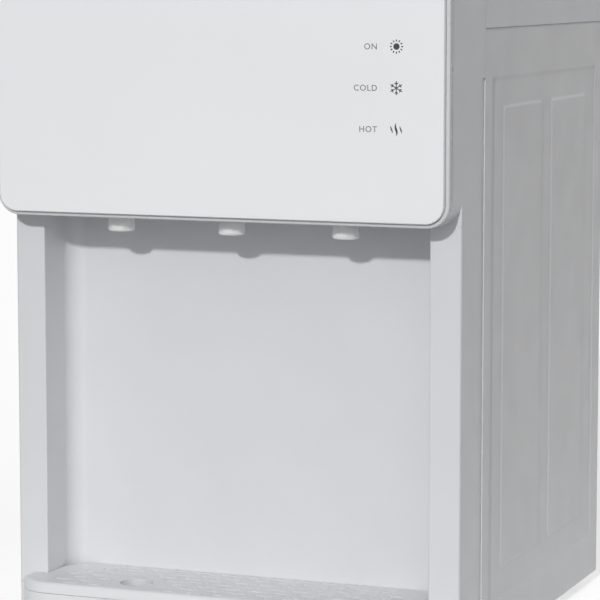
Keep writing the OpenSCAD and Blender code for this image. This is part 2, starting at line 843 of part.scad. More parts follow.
key_top_t = 3;
key_wall = 2;
dish_r = 180;                     // finger dish across a button
dish_deep = 1.2;
dish_edge = 5;                    // flat rim at the dish's ends
toe_r = 4;                        // rounded toe that pushes the rod
toe_l = 30;
z_cap = z_deck - 12;              // top of a push rod
cap_r = 8;
cap_t = 3;
lock_w = 15;
lock_l = 10;
lock_t = 2.4;
lock_s = key_end - 19.5;          // front end of the child lock at rest
lock_floor = key_proud - 1.2;
lock_stem_w = 3.6;
lock_stem_l = 4;
lock_stem_in = 3;                 // distance of the stem from the lock's front end
lock_room = 0.5;                  // room round the lock in the button's top
lock_play = 0.4;                  // room round its stem
hook_t = 1.6;
hook_out = 2.2;

module key(x, locked) {
    translate([x, 0, 0]) {
        difference() {
            union() {
                on_deck() difference() {
                    translate([0, 0, -key_skirt]) linear_extrude(key_skirt + key_proud)
                        round_rect([-key_w / 2, key_s], [key_w / 2, key_end], key_r);
                    translate([0, 0, -key_skirt - over])
                        linear_extrude(key_skirt + over + key_proud - key_top_t) round_rect(
                            [-key_w / 2 + key_wall, key_s + key_wall],
                            [key_w / 2 - key_wall, key_end - key_wall], key_r - key_wall);
                    bar_x((key_s + key_end) / 2, key_proud - dish_deep + dish_r, -key_w / 2 + dish_edge,
                        key_w / 2 - dish_edge, dish_r, 360);
                }
                on_deck() both_sides() bar_x(key_hinge_s, key_hinge_n, key_w / 2 - key_wall,
                    key_w / 2 + key_gap + ear_t, key_pin_d / 2);
                difference() {
                    translate([0, y_col, z_cap + rest_gap + toe_r]) cylinder(r = toe_r, h = toe_l);
                    above_deck(0.5);
                }
                translate([0, y_col, z_cap + rest_gap + toe_r]) sphere(toe_r);
            }
            if (locked) on_deck() {
                box([-lock_w / 2 - lock_room, lock_s - lock_room, lock_floor],
                    [lock_w / 2 + lock_room, lock_s + lock_l + lock_travel + lock_room,
                        key_proud + over]);
                s0 = lock_s + lock_stem_in - lock_play;
                box([-lock_stem_w / 2 - lock_play, s0, -key_skirt],
                    [lock_stem_w / 2 + lock_play, s0 + lock_stem_l + lock_travel + 2 * lock_play,
                        key_proud]);
            }
        }
    }
}

hot_x = tap_x[0];
room_x = tap_x[1];
cold_x = tap_x[2];

module hot_button() {
    color("firebrick") key(hot_x, true);
}

module room_button() {
    color(pale) key(room_x, false);
}

module cold_button() {
    color("royalblue") key(cold_x, false);
}

module child_lock() {
    floor_n = lock_floor + rest_gap;
    under_n = key_proud - key_top_t - rest_gap;
    hook_n = under_n - hook_t;
    stem_s = lock_s + lock_stem_in;
    groove_r = 0.7;
    groove_n = floor_n + lock_t + rest_gap;
    stem_e = stem_s + lock_stem_l;
    color(white) translate([hot_x, 0, 0]) on_deck() {
        difference() {
            box([-lock_w / 2, lock_s, floor_n], [lock_w / 2, lock_s + lock_l, floor_n + lock_t]);
            for (i = [1:3]) bar_x(lock_s + i * lock_l / 4, groove_n, -lock_w / 2 + 2,
                lock_w / 2 - 2, groove_r);
        }
        box([-lock_stem_w / 2, stem_s, hook_n], [lock_stem_w / 2, stem_e, floor_n + lock_t / 4]);
        box([-lock_stem_w / 2 - hook_out, stem_s - lock_room, hook_n],
            [lock_stem_w / 2 + hook_out, stem_e + lock_room, under_n]);
    }
}

// ---------------------------------------------------------------- taps

bonnet_r = 11;
bonnet_h = 11;
z_bonnet = z_bracket + bonnet_h;
z_seat = z_valve + 18;            // valve seat
seat_bore_r = 4.4;
plug_r = 6.6;
plug_h = 4;
outlet_r = 7.6;
outlet_h = 12;
mouth = 0.8;                      // chamfer inside a nozzle's mouth
tap_wall = 1.4;
chamber_r = 8.5;
rod_r = rod_d / 2;
collar_z = z_bonnet + 26;
collar_r = 7.5;
spring_r = 5.6;
spring_turns = 5;
inlet_z = z_seat + 13;
inlet_r = 4.5;
inlet_end = y_col + 27;
hose_r = 5;

module tap(x) {
    z0 = z_head - nozzle_drop;
    r0 = nozzle_d / 2;
    wr = water_d / 2;
    translate([x, y_col, 0]) difference() {
        union() {
            rotate_extrude() polygon([[0, z0], [r0 - tap_wall, z0], [r0 - 0.4, z0 + 0.5], [r0, z0 + 1.5],
                [nozzle_top_r, z_head], [nozzle_top_r, z_valve], [valve_d / 2, z_valve],
                [valve_d / 2, z_bracket], [bonnet_r, z_bracket], [bonnet_r, z_bonnet - 1],
                [bonnet_r - 1, z_bonnet], [0, z_bonnet]]);
            bar_y(0, inlet_z, 0, inlet_end - y_col, inlet_r);
        }
        rotate_extrude() polygon([[0, z0 - over], [wr + mouth, z0 - over], [wr + mouth, z0],
            [wr, z0 + mouth], [wr, z_seat - outlet_h], [outlet_r, z_seat - outlet_h],
             [outlet_r, z_seat], [seat_bore_r, z_seat],
            [seat_bore_r, z_seat + 3], [chamber_r, z_seat + 3], [chamber_r, z_bracket - 2],
            [rod_r + rod_play / 2, z_bracket - 2], [rod_r + rod_play / 2, z_bonnet + over],
            [0, z_bonnet + over]]);
        bar_y(0, inlet_z, 0, inlet_end - y_col + over, inlet_r - tap_wall);
    }
}

module hot_tap() {
    color(snow) tap(hot_x);
}

module room_tap() {
    color(snow) tap(room_x);
}

module cold_tap() {
    color(snow) tap(cold_x);
}

module rod(x) {
    zp = z_seat - rest_gap;
    c = 0.6;
    translate([x, y_col, 0]) rotate_extrude() polygon([[0, zp - plug_h], [plug_r - 1, zp - plug_h],
        [plug_r, zp - plug_h + 1], [plug_r, zp - c], [plug_r - c, zp], [rod_r, zp],
        [rod_r, collar_z], [collar_r, collar_z], [collar_r, collar_z + 2], [rod_r, collar_z + 2],
        [rod_r, z_cap - cap_t], [cap_r, z_cap - cap_t], [cap_r, z_cap - c], [cap_r - c, z_cap],
        [0, z_cap]]);
}

module hot_rod() {
    color(pale) rod(hot_x);
}

module room_rod() {
    color(pale) rod(room_x);
}

module cold_rod() {
    color(pale) rod(cold_x);
}

module return_spring(x) {
    steps = 12;
    n = spring_turns * steps;
    end_gap = spring_wire / 2 + rest_gap / 2;
    z0 = z_bonnet + end_gap;
    z1 = collar_z - end_gap;
    path = [for (i = [0:n]) let (a = 360 * i / steps)
        [x + spring_r * cos(a), y_col + spring_r * sin(a), z0 + (z1 - z0) * i / n]];
    swept(path, spring_wire / 2, 6, [0, 0, 1]);
}

module hot_spring() {
    color(steel) return_spring(hot_x);
}

module room_spring() {
    color(steel) return_spring(room_x);
}

module cold_spring() {
    color(steel) return_spring(cold_x);
}

module tap_bracket() {
    x = tap_pitch + valve_d / 2 + bracket_r;
    y1 = post_y + post_r + 2;
    color(steel) difference() {
        union() {
            translate([0, 0, z_bracket]) linear_extrude(bracket_t)
                round_rect([-x, y_col - valve_d / 2], [x, y1], bracket_r);
            box([-x + bracket_r, y1 - bracket_t, z_bracket],
                [x - bracket_r, y1, z_bracket + bracket_lip]);
        }
        for (t = tap_x) bar_z(t, y_col, z_bracket - over, z_bracket + bracket_t + over, bonnet_r + fit);
        for (s = [-1, 1]) bar_z(s * tap_pitch / 2, post_y, z_bracket - over,
            z_bracket + bracket_t + over, screw_r + play);
    }
}

// ---------------------------------------------------------------- drip tray

y_front = y_col - tray_reach;
grille_t = 2.4;
grille_round = 3;
tray_x = x_alcove - tray_gap;
tray_back = y_col + alcove_d - tray_gap;
basin_rib = 8;                    // distance of the basin's ribs from its walls
finger_y = y_col - finger_reach;
finger_wall = 2;
slot_edge = 5;                    // least distance of the slots' middle lines from the grille's edge

// Wide front part of the tray's plan, up to y1
module tray_front_plan(inset, y1) {
    difference() {
        round_rect([-tray_w / 2 + inset, y_front + inset],
            [tray_w / 2 - inset, y1 + 2 * tray_front_r], tray_front_r - inset);
        translate([-tray_w, y1]) square([2 * tray_w, 3 * tray_front_r]);
    }
}

// Rear part of the plan, inside the alcove; it starts within the front part
module tray_rear_plan(inset) {
    round_rect([-tray_x + inset, y_front + tray_front_r / 4 + inset],
        [tray_x - inset, tray_back - inset], tray_back_r - inset);
}

module tray_basin() {
    z0 = z_floor + rest_gap;
    y1 = y_col + notch_d - tray_gap;
    color(snow) {
        difference() {
            translate([0, 0, z0]) linear_extrude(z_joint - z0) {
                tray_front_plan(0, y1);
                tray_rear_plan(0);
            }
            translate([0, 0, z0 + tray_t]) linear_extrude(z_joint - z0) {
                tray_front_plan(tray_t, y1 - tray_t);
                tray_rear_plan(tray_t);
            }
        }
        for (x = [-tray_x / 2, 0, tray_x / 2])
            box([x - 1, y_col - basin_rib, z0 + 1], [x + 1, tray_back - basin_rib, z0 + tray_t + 3]);
    }
}

// Rows of drain slots, staggered, clear of the front edge and of the finger hole
module slot_holes() {
    y0 = y_front + slot_edge;
    rows = floor((tray_back - slot_edge - y0) / row_pitch);
    columns = ceil(tray_x / slot_pitch);
    clear_r = finger_d / 2 + slot_l / 2 + 4;
    for (j = [0:rows], i = [-columns:columns])
        let (x = (i + (j % 2 == 0 ? 0 : 0.5)) * slot_pitch, y = y0 + j * row_pitch,
            end = abs(x) + slot_l / 2,
            in_corner = end > tray_x - tray_back_r && y > tray_back - tray_back_r)
        if (end < tray_x - slot_edge && !in_corner && norm([x + finger_x, y - finger_y]) > clear_r)
            translate([x, y]) round_rect([-slot_l / 2, -slot_w / 2], [slot_l / 2, slot_w / 2],
                slot_w / 2 - slim);
}

module tray_grille() {
    z0 = z_joint + rest_gap;
    y1 = y_col - tray_gap;
    color(snow) difference() {
        union() {
            intersection() {
                hull() for (a = [0:30:90])
                    let (in = grille_round * (1 - cos(a)), up = grille_round * (sin(a) - 1))
                    translate([0, 0, z0]) linear_extrude(z_tray - z0 + up) tray_front_plan(in, y1);
                along_y(y_front - over, y_col) round_rect([-tray_w / 2, z_case - tray_h],
                    [tray_w / 2, z_tray], tray_end_r);
            }
            translate([0, 0, z0]) linear_extrude(z_tray - z0) tray_rear_plan(0);
        }
        difference() {
            translate([0, 0, z0 - over]) linear_extrude(z_tray - grille_t - z0 + over) {
                tray_front_plan(2 + grille_round, y1 + over);
                tray_rear_plan(2);
            }
            bar_z(-finger_x, finger_y, z0, z_tray, finger_d / 2 + finger_wall);
        }
        bar_z(-finger_x, finger_y, z0 - over, z_tray + over, finger_d / 2);
        translate([0, 0, z0]) linear_extrude(tray_h) slot_holes();
    }
}

// ---------------------------------------------------------------- bottle seat

seat_r = seat_d / 2;
well_r = well_d / 2;
well_floor = z_top - well_drop;
neck_r = 18;
neck_in = 15;
z_lid = z_top - cold_drop;        // top of the cold tank
neck_end = z_lid + 3;
tank_neck_r = neck_r + 6;
gasket_h = 9;
skirt_r = open_r - 0.6;
cone_steps = 10;
rim_r = 9;
rim_w = 14;                       // width of the rim, to where the bowl starts
bowl_end = 20;                    // depth at which the bowl meets the well
skirt_t = 2.4;
skirt_h = 9;
probe_t = 3.5;                    // wall of the feed probe
probe_foot = [6, 3];              // width and thickness of its flange
probe_in = 10;                    // its reach into the neck
probe_slot = [6, 14];             // its inlet slots, and their distance under the dome
probe_slot_z = 22;

// Bowl of the seat, from the rim's inner edge down to the well, lowered by drop
function bowl(drop, out) = curve([seat_r - rim_w, z_top + seat_rise - drop], [-26, -2],
    [well_r + out, z_top - bowl_end - drop], [10, 16], cone_steps);

module bottle_seat() {
    under = bowl(seat_t * 1.2, seat_t);
    rim = [for (a = [0:15:90]) [seat_r - rim_r * (1 - cos(a)),
        z_top + rest_gap + (seat_rise - rest_gap) * sin(a)]];
    color(white) translate([0, y_seat, 0]) rotate_extrude($fn = 96) polygon(concat(
        rim, bowl(0, 0),
        [[well_r, well_floor], [neck_in, well_floor], [neck_in, neck_end], [neck_r, neck_end],
         [neck_r, well_floor - seat_t], [well_r + seat_t, well_floor - seat_t]],
        [for (i = [cone_steps:-1:2]) under[i]],
        [[skirt_r - skirt_t, z_top - skirt_h], [skirt_r, z_top - skirt_h],
         [skirt_r, z_top + rest_gap]]));
}

module feed_probe() {
    r = probe_d / 2;
    bore = r - probe_t;
    z0 = well_floor - probe_in;
    z1 = well_floor + probe_l;
    color(snow) translate([0, y_seat, 0]) difference() {
        union() {
            translate([0, 0, well_floor]) cylinder(r = neck_in + probe_foot[0], h = probe_foot[1]);
            translate([0, 0, well_floor]) cylinder(r = r, h = probe_l - r);
            translate([0, 0, z1 - r]) sphere(r);
            translate([0, 0, z0]) cylinder(r = neck_in - play, h = probe_in + over);
        }
        translate([0, 0, z0 - over]) cylinder(r = bore, h = probe_l - r + probe_in + over);
        for (a = [0, 90]) rotate(a) translate([0, 0, z1 - r - probe_slot_z])
            linear_extrude(probe_slot[1]) square([probe_d + 2, probe_slot[0]], center = true);
    }
}

module seat_gasket() {
    color(rubber) translate([0, y_seat, z_lid]) difference() {
        cylinder(r = tank_neck_r - play, h = gasket_h);
        translate([0, 0, -over]) cylinder(r = neck_r + rest_gap, h = gasket_h + 2 * over);
    }
}

// ---------------------------------------------------------------- cold tank

cold_r = cold_d / 2;
z_cold = z_case + cold_z;
cold_h = z_lid - z_cold;
tank_corner = 8;
evap_pitch = 20;                  // least spacing of the evaporator's turns
evap_steps = 18;                  // straight stretches to a turn of the evaporator
evap_z0 = z_cold + 22;
evap_z1 = z_lid - 40;
evap_turns = floor((evap_z1 - evap_z0) / evap_pitch) + 0.5;
evap_r = (cold_r + rest_gap) / cos(180 / evap_steps) + pipe_d / 2;
foam_r = evap_r + pipe_d / 2 + rest_gap;    // cavity of the foam
foam_half = foam_r + foam_t;
foam_floor = 16;
z_foam = z_cold - foam_floor;
foam_top = z_lid + 6;
shelf_t = 1.2;
z_shelf = z_foam - shelf_t;
spout_r = 4.5;
spout_y = y_seat - foam_half - 5; // front ends of the tank's outlets
cold_spout = [44, z_cold + 12];
room_spout = [0, evap_z0 + (evap_z1 - evap_z0) * (evap_turns - 0.75) / evap_turns];
feed_spout = [-46, y_seat - 30];
feed_end = z_shelf - 8;
evap_tail = y_seat + foam_half + 6;         // ends of the evaporator behind the foam

module cold_tank() {
    neck_top = z_lid + gasket_h + 3;
    color(steel) difference() {
        union() {
            translate([0, y_seat, 0]) rotate_extrude() revolved_can(cold_r, z_cold, z_lid, tank_corner);
            bar_z(0, y_seat, z_lid - tank_t, neck_top, tank_neck_r + tank_t + play);
            for (s = [cold_spout, room_spout]) bar_y(s.x, s.y, spout_y, y_seat - cold_r / 2, spout_r);
            bar_z(feed_spout.x, feed_spout.y, feed_end, z_cold + tank_t, spout_r);
        }
        translate([0, y_seat, 0]) rotate_extrude()
            revolved_can(cold_r - tank_t, z_cold + tank_t, z_lid - tank_t, tank_corner - tank_t);
        bar_z(0, y_seat, z_lid, neck_top + over, tank_neck_r);
        bar_z(0, y_seat, z_lid - 2 * tank_t, z_lid + over, neck_r + 2);
        for (s = [cold_spout, room_spout]) bar_y(s.x, s.y, spout_y - over, y_seat, spout_r - tank_t);
        bar_z(feed_spout.x, feed_spout.y, feed_end - over, z_cold + 2 * tank_t, spout_r - tank_t);
    }
}

module separator() {
    z = z_cold + cold_h * 0.5;
    color(white) translate([0, y_seat, 0]) difference() {
        bar_z(0, 0, z, z + 3, cold_r - tank_t - rest_gap);
        for (a = [0:60:300]) rotate(a) bar_z(cold_r * 0.6, 0, z - over, z + 3 + over, 5);
    }
}

module evaporator_coil() {
    n = evap_turns * evap_steps;
    coil = [for (i = [0:n]) let (a = 180 + 360 * i / evap_steps)
        [evap_r * cos(a), y_seat + evap_r * sin(a), evap_z0 + (evap_z1 - evap_z0) * i / n]];
    path = concat([[-evap_r, evap_tail, evap_z0]], coil, [[evap_r, evap_tail, evap_z1]]);
    color("peru") swept(path, pipe_d / 2, 6, [0, 0, 1]);
}

module tank_foam() {
    color("ivory") difference() {
        translate([0, 0, z_foam]) linear_extrude(foam_top - z_foam)
            round_rect([-foam_half, y_seat - foam_half], [foam_half, y_seat + foam_half], 30);
        translate([0, y_seat, z_cold]) cylinder(r = foam_r, h = cold_h + foam_floor);
        box([-foam_half - over, y_seat - rest_gap / 2, z_foam - over],
            [foam_half + over, y_seat + rest_gap / 2, foam_top + over]);
        for (s = [cold_spout, room_spout]) bar_y(s.x, s.y, spout_y, y_seat, spout_r + play);
        bar_z(feed_spout.x, feed_spout.y, z_foam - over, z_cold + over, spout_r + play);
        bar_y(-evap_r, evap_z0, y_seat, evap_tail, pipe_d / 2 + rest_gap);
        bar_y(evap_r, evap_z1, y_seat, evap_tail, pipe_d / 2 + rest_gap);
    }
}

module tank_shelf() {
    y0 = y_seat - foam_half - 2;
    y1 = y_seat + foam_half + 2;
    color(steel) difference() {
        union() {
            box([-inner_x, y0, z_shelf], [inner_x, y1, z_foam]);
            both_sides() box([inner_x - shelf_t, y0, z_shelf - 16], [inner_x, y1, z_foam]);
            box([-inner_x, y0, z_shelf - 8], [inner_x, y0 + shelf_t, z_foam]);
        }
        bar_z(feed_spout.x, feed_spout.y, z_shelf - over, z_foam + over, spout_r + 1);
        bar_z(20, y_seat, z_shelf - over, z_foam + over, 12);
    }
}

// ---------------------------------------------------------------- hot tank

hot_r = hot_d / 2;
z_hot = z_case + hot_z;
z_hot_top = z_hot + hot_h;
hot_out = [0, -34];               // outlets in the hot tank's lid, from its axis
hot_in = [24, 12];
hot_spout_h = 10;
band_h = 34;
band_z = z_hot + 24;
band_t = 3;
jacket_in = hot_r + band_t + 1.5;
jacket_t = 9;
jacket_gap = 9.4;                 // room between the jacket and the case's side
hot_axis = [jacket_in + jacket_t + jacket_gap - inner_x, y_col + 113];
drain_out_h = 6;

module at_hot() {
    translate([hot_axis.x, hot_axis.y, 0]) children();
}

module hot_tank() {
    top = z_hot_top + hot_spout_h;
    low = z_hot - drain_out_h;
    color(steel) at_hot() difference() {
        union() {
            rotate_extrude() revolved_can(hot_r, z_hot, z_hot_top, tank_corner);
            for (p = [hot_out, hot_in]) bar_z(p.x, p.y, z_hot_top - tank_t, top, spout_r);
            bar_z(0, 0, low, z_hot + tank_t, spout_r);
        }
        rotate_extrude()
            revolved_can(hot_r - tank_t, z_hot + tank_t, z_hot_top - tank_t, tank_corner - tank_t);
        for (p = [hot_out, hot_in]) bar_z(p.x, p.y, z_hot_top - 2 * tank_t, top + over, spout_r - tank_t);
        bar_z(0, 0, low - over, z_hot + 2 * tank_t, spout_r - tank_t);
    }
}

module heater_band() {
    z1 = band_z + band_h;
    color("goldenrod") at_hot() difference() {
        union() {
            bar_z(0, 0, band_z, z1, hot_r + band_t);
            for (s = [-1, 1]) translate([s * 5, -hot_r - band_t - 6, band_z + band_h / 2])
                box([-2, 0, -3], [2, 9, 3]);
        }
        bar_z(0, 0, band_z - over, z1 + over, hot_r + fit);
        box([-1, -hot_r - 20, band_z - over], [1, 0, z1 + over]);
    }
}

module hot_jacket() {
    color("lightgray") at_hot() difference() {
        bar_z(0, 0, z_hot, z_hot_top - 4, jacket_in + jacket_t);
        bar_z(0, 0, z_hot - over, z_hot_top, jacket_in);
        box([-10, -hot_r - 30, band_z - 2], [10, 0, band_z + band_h + 2]);
    }
}

module hot_stand() {
    w = jacket_in + jacket_t;
    color(steel) at_hot() difference() {
        union() {
            box([-w, -w, z_hot - shelf_t], [w, w, z_hot]);
            both_sides() box([w - shelf_t, -w, z_pan], [w, w, z_hot]);
        }
        bar_z(0, 0, z_hot - shelf_t - over, z_hot + over, spout_r + 0.5);
    }
}

// ---------------------------------------------------------------- cooling circuit

comp_r = comp_d / 2;
comp_plate_t = 3;
z_comp = z_pan + comp_lift + comp_plate_t;
z_comp_top = z_comp + comp_h;
stub_z = z_comp + comp_h * 0.62;
stub_x = 26;
stub_end = comp_y + comp_r + 12;
grommet_neck = 6.6;
seam_rim = 2;                     // rim of the seam round the compressor's shell

module compressor() {
    h = comp_h;
    r = comp_r;
    seam = h * 0.55;
    plate = comp_foot + [12, 12];
    color("black") {
        translate([comp_x, comp_y, z_comp]) rotate_extrude() polygon(concat(
            [[0, 0], [r - 14, 0], [r - 5, 3], [r - 1, 9], [r - 1, seam], [r + seam_rim, seam],
             [r + seam_rim, seam + 4], [r, seam + 4]],
            [for (a = [0:10:90]) [r - 30 + 30 * cos(a), h - 30 + 30 * sin(a)]], [[0, h]]));
        difference() {
            translate([comp_x, comp_y, z_comp - comp_plate_t]) linear_extrude(comp_plate_t)
                round_rect(-plate, plate, 10);
            at_comp_feet() bar_z(0, 0, z_comp - comp_plate_t - over, z_comp + over, grommet_neck + fit);
        }
        for (s = [-1, 1])
            bar_y(comp_x + s * stub_x, stub_z, comp_y + r * 0.6, stub_end, pipe_d / 2 + 0.8);
    }
}

module comp_grommets() {
    z1 = z_comp + 3;
    color(rubber) at_comp_feet() difference() {
        union() {
            bar_z(0, 0, z_pan, z_pan + comp_lift, grommet_neck + 3);
            bar_z(0, 0, z_pan, z1, grommet_neck);
        }
        bar_z(0, 0, z_pan - over, z1 + over, comp_bolt_r + 0.4);
    }
}

module comp_bolts() {
    z1 = z_comp + 3;
    color(steel) at_comp_feet() {
        bar_z(0, 0, z_case + sheet_t, z1 + 6, comp_bolt_r);
        bar_z(0, 0, z1, z1 + 1.2, 7.5);
        translate([0, 0, z1 + 1]) cylinder(r = 5, h = 4, $fn = 6);
    }
}

module relay_cover() {
    z0 = z_comp + 48;
    color("dimgray") difference() {
        box([comp_x - 24, comp_y - comp_r - 22, z0], [comp_x + 24, comp_y - comp_r * 0.8, z0 + 40]);
        bar_z(comp_x, comp_y, z_comp, z_comp_top, comp_r + seam_rim + fit);
    }
}

capillary_d = 3.2;
drier_r = 9;
drier = [-22, y_back - 26];
drier_z = [z_case + 84, z_case + 176];

module filter_drier() {
    h = drier_z[1] - drier_z[0];
    color("peru") translate([drier.x, drier.y, drier_z[0]]) rotate_extrude() polygon([[0, 0], [2.5, 0],
        [3.5, 8], [drier_r, 16], [drier_r, h - 16], [3, h - 6], [2, h], [0, h]]);
}

// Ends of the condenser's leads, seen from behind
cond_side = (cond_runs % 2 == 0) ? 1 : -1;
cond_ends = [[lead_x, cond_top], [cond_side * lead_x, cond_low]];

module refrigerant_pipes() {
    r = pipe_d / 2;
    knee = [lead_x, stub_end + 12, stub_z + 45];
    drier_in = [drier.x, drier.y, drier_z[0]];
    drier_out = [drier.x, drier.y, drier_z[1]];
    hot_gas = route([comp_x + stub_x, stub_end, stub_z], [0, 14, 0], knee, [0, 0, -30], 6);
    riser = route(knee, [0, 0, 60], [lead_x, lead_y, cond_top], [0, -14, 0], 8);
    color("peru") {
        swept(concat(hot_gas, [for (i = [1:len(riser) - 1]) riser[i]]), r);
        swept(route([comp_x - stub_x, stub_end, stub_z], [0, 22, 0],
            [evap_r, evap_tail, evap_z1], [0, 22, 0], 14), r);
        swept(route([cond_side * lead_x, lead_y, cond_low], [0, -14, 0],
            drier_in, [0, 0, -26], 12), r, 8, [0.3, 1, 0.9]);
        swept(route(drier_out, [0, 0, 16], [-evap_r, evap_tail, evap_z0], [0, 14, 0], 10),
            capillary_d / 2, 6, [1, -0.3, 1]);
    }
}

// Bent tube round the Z axis, over the quarter or half turn that starts at +X
module bend(r, tube, quarters) {
    w = r + 2 * tube;
    intersection() {
        rotate_extrude() translate([r, 0]) circle(tube);
        translate([quarters == 1 ? 0 : -w, 0, -tube]) cube([quarters == 1 ? w : 2 * w, w, 2 * tube]);
    }
}

module condenser_tube() {
    r = cond_d / 2;
    color("dimgray") {
        for (i = [0:cond_runs - 1]) bar_x(y_cond, cond_top - i * cond_pitch, -cond_x, cond_x, r);
        for (i = [0:cond_runs - 2]) let (s = (i % 2 == 0) ? -1 : 1)
            translate([s * cond_x, y_cond, cond_top - (i + 0.5) * cond_pitch]) rotate([90, s * 90, 0])
                bend(cond_pitch / 2, r, 2);
        for (p = cond_ends) let (s = sign(p.x)) {
            translate([s * cond_x, y_cond - lead_r, p.y]) rotate([0, 0, s > 0 ? 0 : 90])
                bend(lead_r, r, 1);
            bar_y(p.x, p.y, lead_y, y_cond - lead_r, r);
        }
    }
}

module condenser_wires() {
    off = cond_d / 2 + slim + fin_wire / 2;
    end = 8;
    color("dimgray") for (i = [0:fin_count - 1], s = [-1, 1])
        translate([(i - (fin_count - 1) / 2) * fin_pitch, y_cond + s * off, cond_low - end])
            cylinder(r = fin_wire / 2, h = cond_top - cond_low + 2 * end, $fn = 16);
}

module condenser_clips() {
    w = fin_pitch - fin_wire - 0.8;
    x0 = (fin_count / 2 - 1) * fin_pitch;
    color("black") for (x = [-x0, x0], z = [cond_top, cond_low]) difference() {
        box([x - w / 2, y_back, z - 7], [x + w / 2, y_cond + cond_d / 2 + 1.2, z + 7]);
        bar_x(y_cond, z, x - w, x + w, cond_d / 2 + slim);
    }
}

// ---------------------------------------------------------------- hoses, drain and electrics

module water_hoses() {
    cold = [cold_spout.x, spout_y, cold_spout.y];
    room = [room_spout.x, spout_y, room_spout.y];
    z_hot_spout = z_hot_top + hot_spout_h;
    hot = [hot_axis.x + hot_out.x, hot_axis.y + hot_out.y, z_hot_spout];
    refill = [hot_axis.x + hot_in.x, hot_axis.y + hot_in.y, z_hot_spout];
    color("white") {
        swept(route(cold, [0, -26, 0], [cold_x, inlet_end, inlet_z], [0, 34, 0], 12), hose_r);
        swept(route(room, [0, -16, 0], [room_x, inlet_end, inlet_z], [0, 16, 0], 8), hose_r);
        swept(route(hot, [0, 0, 60], [hot_x, inlet_end, inlet_z], [0, 40, 0], 14), hose_r);
        swept(route([feed_spout.x, feed_spout.y, feed_end], [0, 0, -16], refill, [0, 0, 16], 8),
            hose_r, 8, [0.2, 0, 1.2]);
        swept(route([hot_axis.x, hot_axis.y, z_hot - drain_out_h], [0, 0, -22],
            [hot_x, spigot_y0, drain_z], [0, -60, 0], 14), hose_r);
    }
}

spigot_y0 = y_back - 30;
spigot_y1 = y_back + 15;
spigot_rim = 2.5;                 // thickness of the spigot's flange
cap_wall = 2.6;
cap_rib_r = 0.9;                  // grip ribs of the drain cap

module drain_spigot() {
    color(white) difference() {
        union() {
            bar_y(hot_x, drain_z, spigot_y0, spigot_y1, spigot_r);
            bar_y(hot_x, drain_z, y_back, y_back + spigot_rim, spigot_r + 5);
            bar_y(hot_x, drain_z, y_flange + sheet_t - 4, y_flange + sheet_t, spigot_r + 4);
        }
        bar_y(hot_x, drain_z, spigot_y0 - over, spigot_y1 + over, spigot_r - 2);
    }
}

module drain_cap() {
    r = spigot_r + cap_wall;
    y0 = y_back + spigot_rim + rest_gap;
    color(white) difference() {
        union() {
            bar_y(hot_x, drain_z, y0, spigot_y1 + 3, r);
            for (a = [0:30:330]) translate([hot_x + r * cos(a), 0, drain_z + r * sin(a)])
                bar_y(0, 0, y0, spigot_y1 + 2, cap_rib_r);
        }
        bar_y(hot_x, drain_z, y_back, spigot_y1 + rest_gap, spigot_r + fit);
    }
}

rocker_y = y_back - 5;            // axis of the rockers
rocker_rest = 9;
rocker_w = 9.8;
switch_in = 17;                   // depth of a switch behind the panel
switch_rim = 1.2;
terminal = [3, 0.4, 8];           // half width, half thickness and length of a terminal

module switch_housings() {
    half = [switch_w / 2, switch_l / 2];
    rim = half + [switch_rim, switch_rim];
    inside = [rocker_w / 2 + 0.4, switch_l / 2 - 0.9];
    end = -switch_in - terminal[2];
    color("black") for (x = switch_x) translate([x, y_back, switch_z]) difference() {
        union() {
            box([-half.x, -switch_in, -half.y], [half.x, 0, half.y]);
            box([-rim.x, 0, -rim.y], [rim.x, 2, rim.y]);
            for (z = [-6, 0, 6]) box([-terminal[0], end, z - terminal[1]],
                [terminal[0], -switch_in, z + terminal[1]]);
        }
        box([-inside.x, -12, -inside.y], [inside.x, 2 + over, inside.y]);
    }
}

module rocker(x) {
    translate([x, rocker_y, switch_z]) rotate([rocker_rest, 0, 0])
        along_x(-rocker_w / 2, rocker_w / 2) polygon([[-3.5, -3.5], [5.2, -7.8], [7.3, -7.2], [5.6, 0],
            [7.3, 7.2], [5.2, 7.8], [-3.5, 3.5]]);
    bar_x(rocker_y, switch_z, x - rocker_w / 2 - 0.3, x + rocker_w / 2 + 0.3, 1.2);
}

module hot_rocker() {
    color("red") rocker(switch_x[0]);
}

module cold_rocker() {
    color("green") rocker(switch_x[1]);
}

module cord_gland() {
    color("black") difference() {
        union() {
            bar_y(gland_x, gland_z, y_flange - gland_in, y_back, gland_r);
            bar_y(gland_x, gland_z, y_back, y_back + 3, gland_r + 3);
            bar_y(gland_x, gland_z, y_back + 3, y_back + gland_out, gland_r - 1);
        }
        bar_y(gland_x, gland_z, y_flange - gland_in - over, y_back + gland_out + over, gland_bore);
    }
}

power_x = inner_x - 30.216;       // power board, upright beside the tank's foam
power_board = [68, 56];
relay_side = 14;                  // side and height of its relays
relay_h = 20;
relay_pitch = 20;
socket = [9, 54, 12];             // plug-in terminals along its lower edge
board_inset = 6;

module control_board() {
    y0 = y_seat - power_board[0] / 2;
    x1 = power_x + board_t;
    relay_z = z_foam + power_board[1] - board_inset;
    at = [x1, y0 + board_inset, z_foam + board_inset];
    color("seagreen") box([power_x, y0, z_foam], [x1, y0 + power_board[0], z_foam + power_board[1]]);
    color("black") for (i = [0:2]) let (y = y0 + board_inset + i * relay_pitch)
        box([x1, y, relay_z - relay_h], [x1 + relay_side, y + relay_side, relay_z]);
    color("white") box(at, at + socket);
}

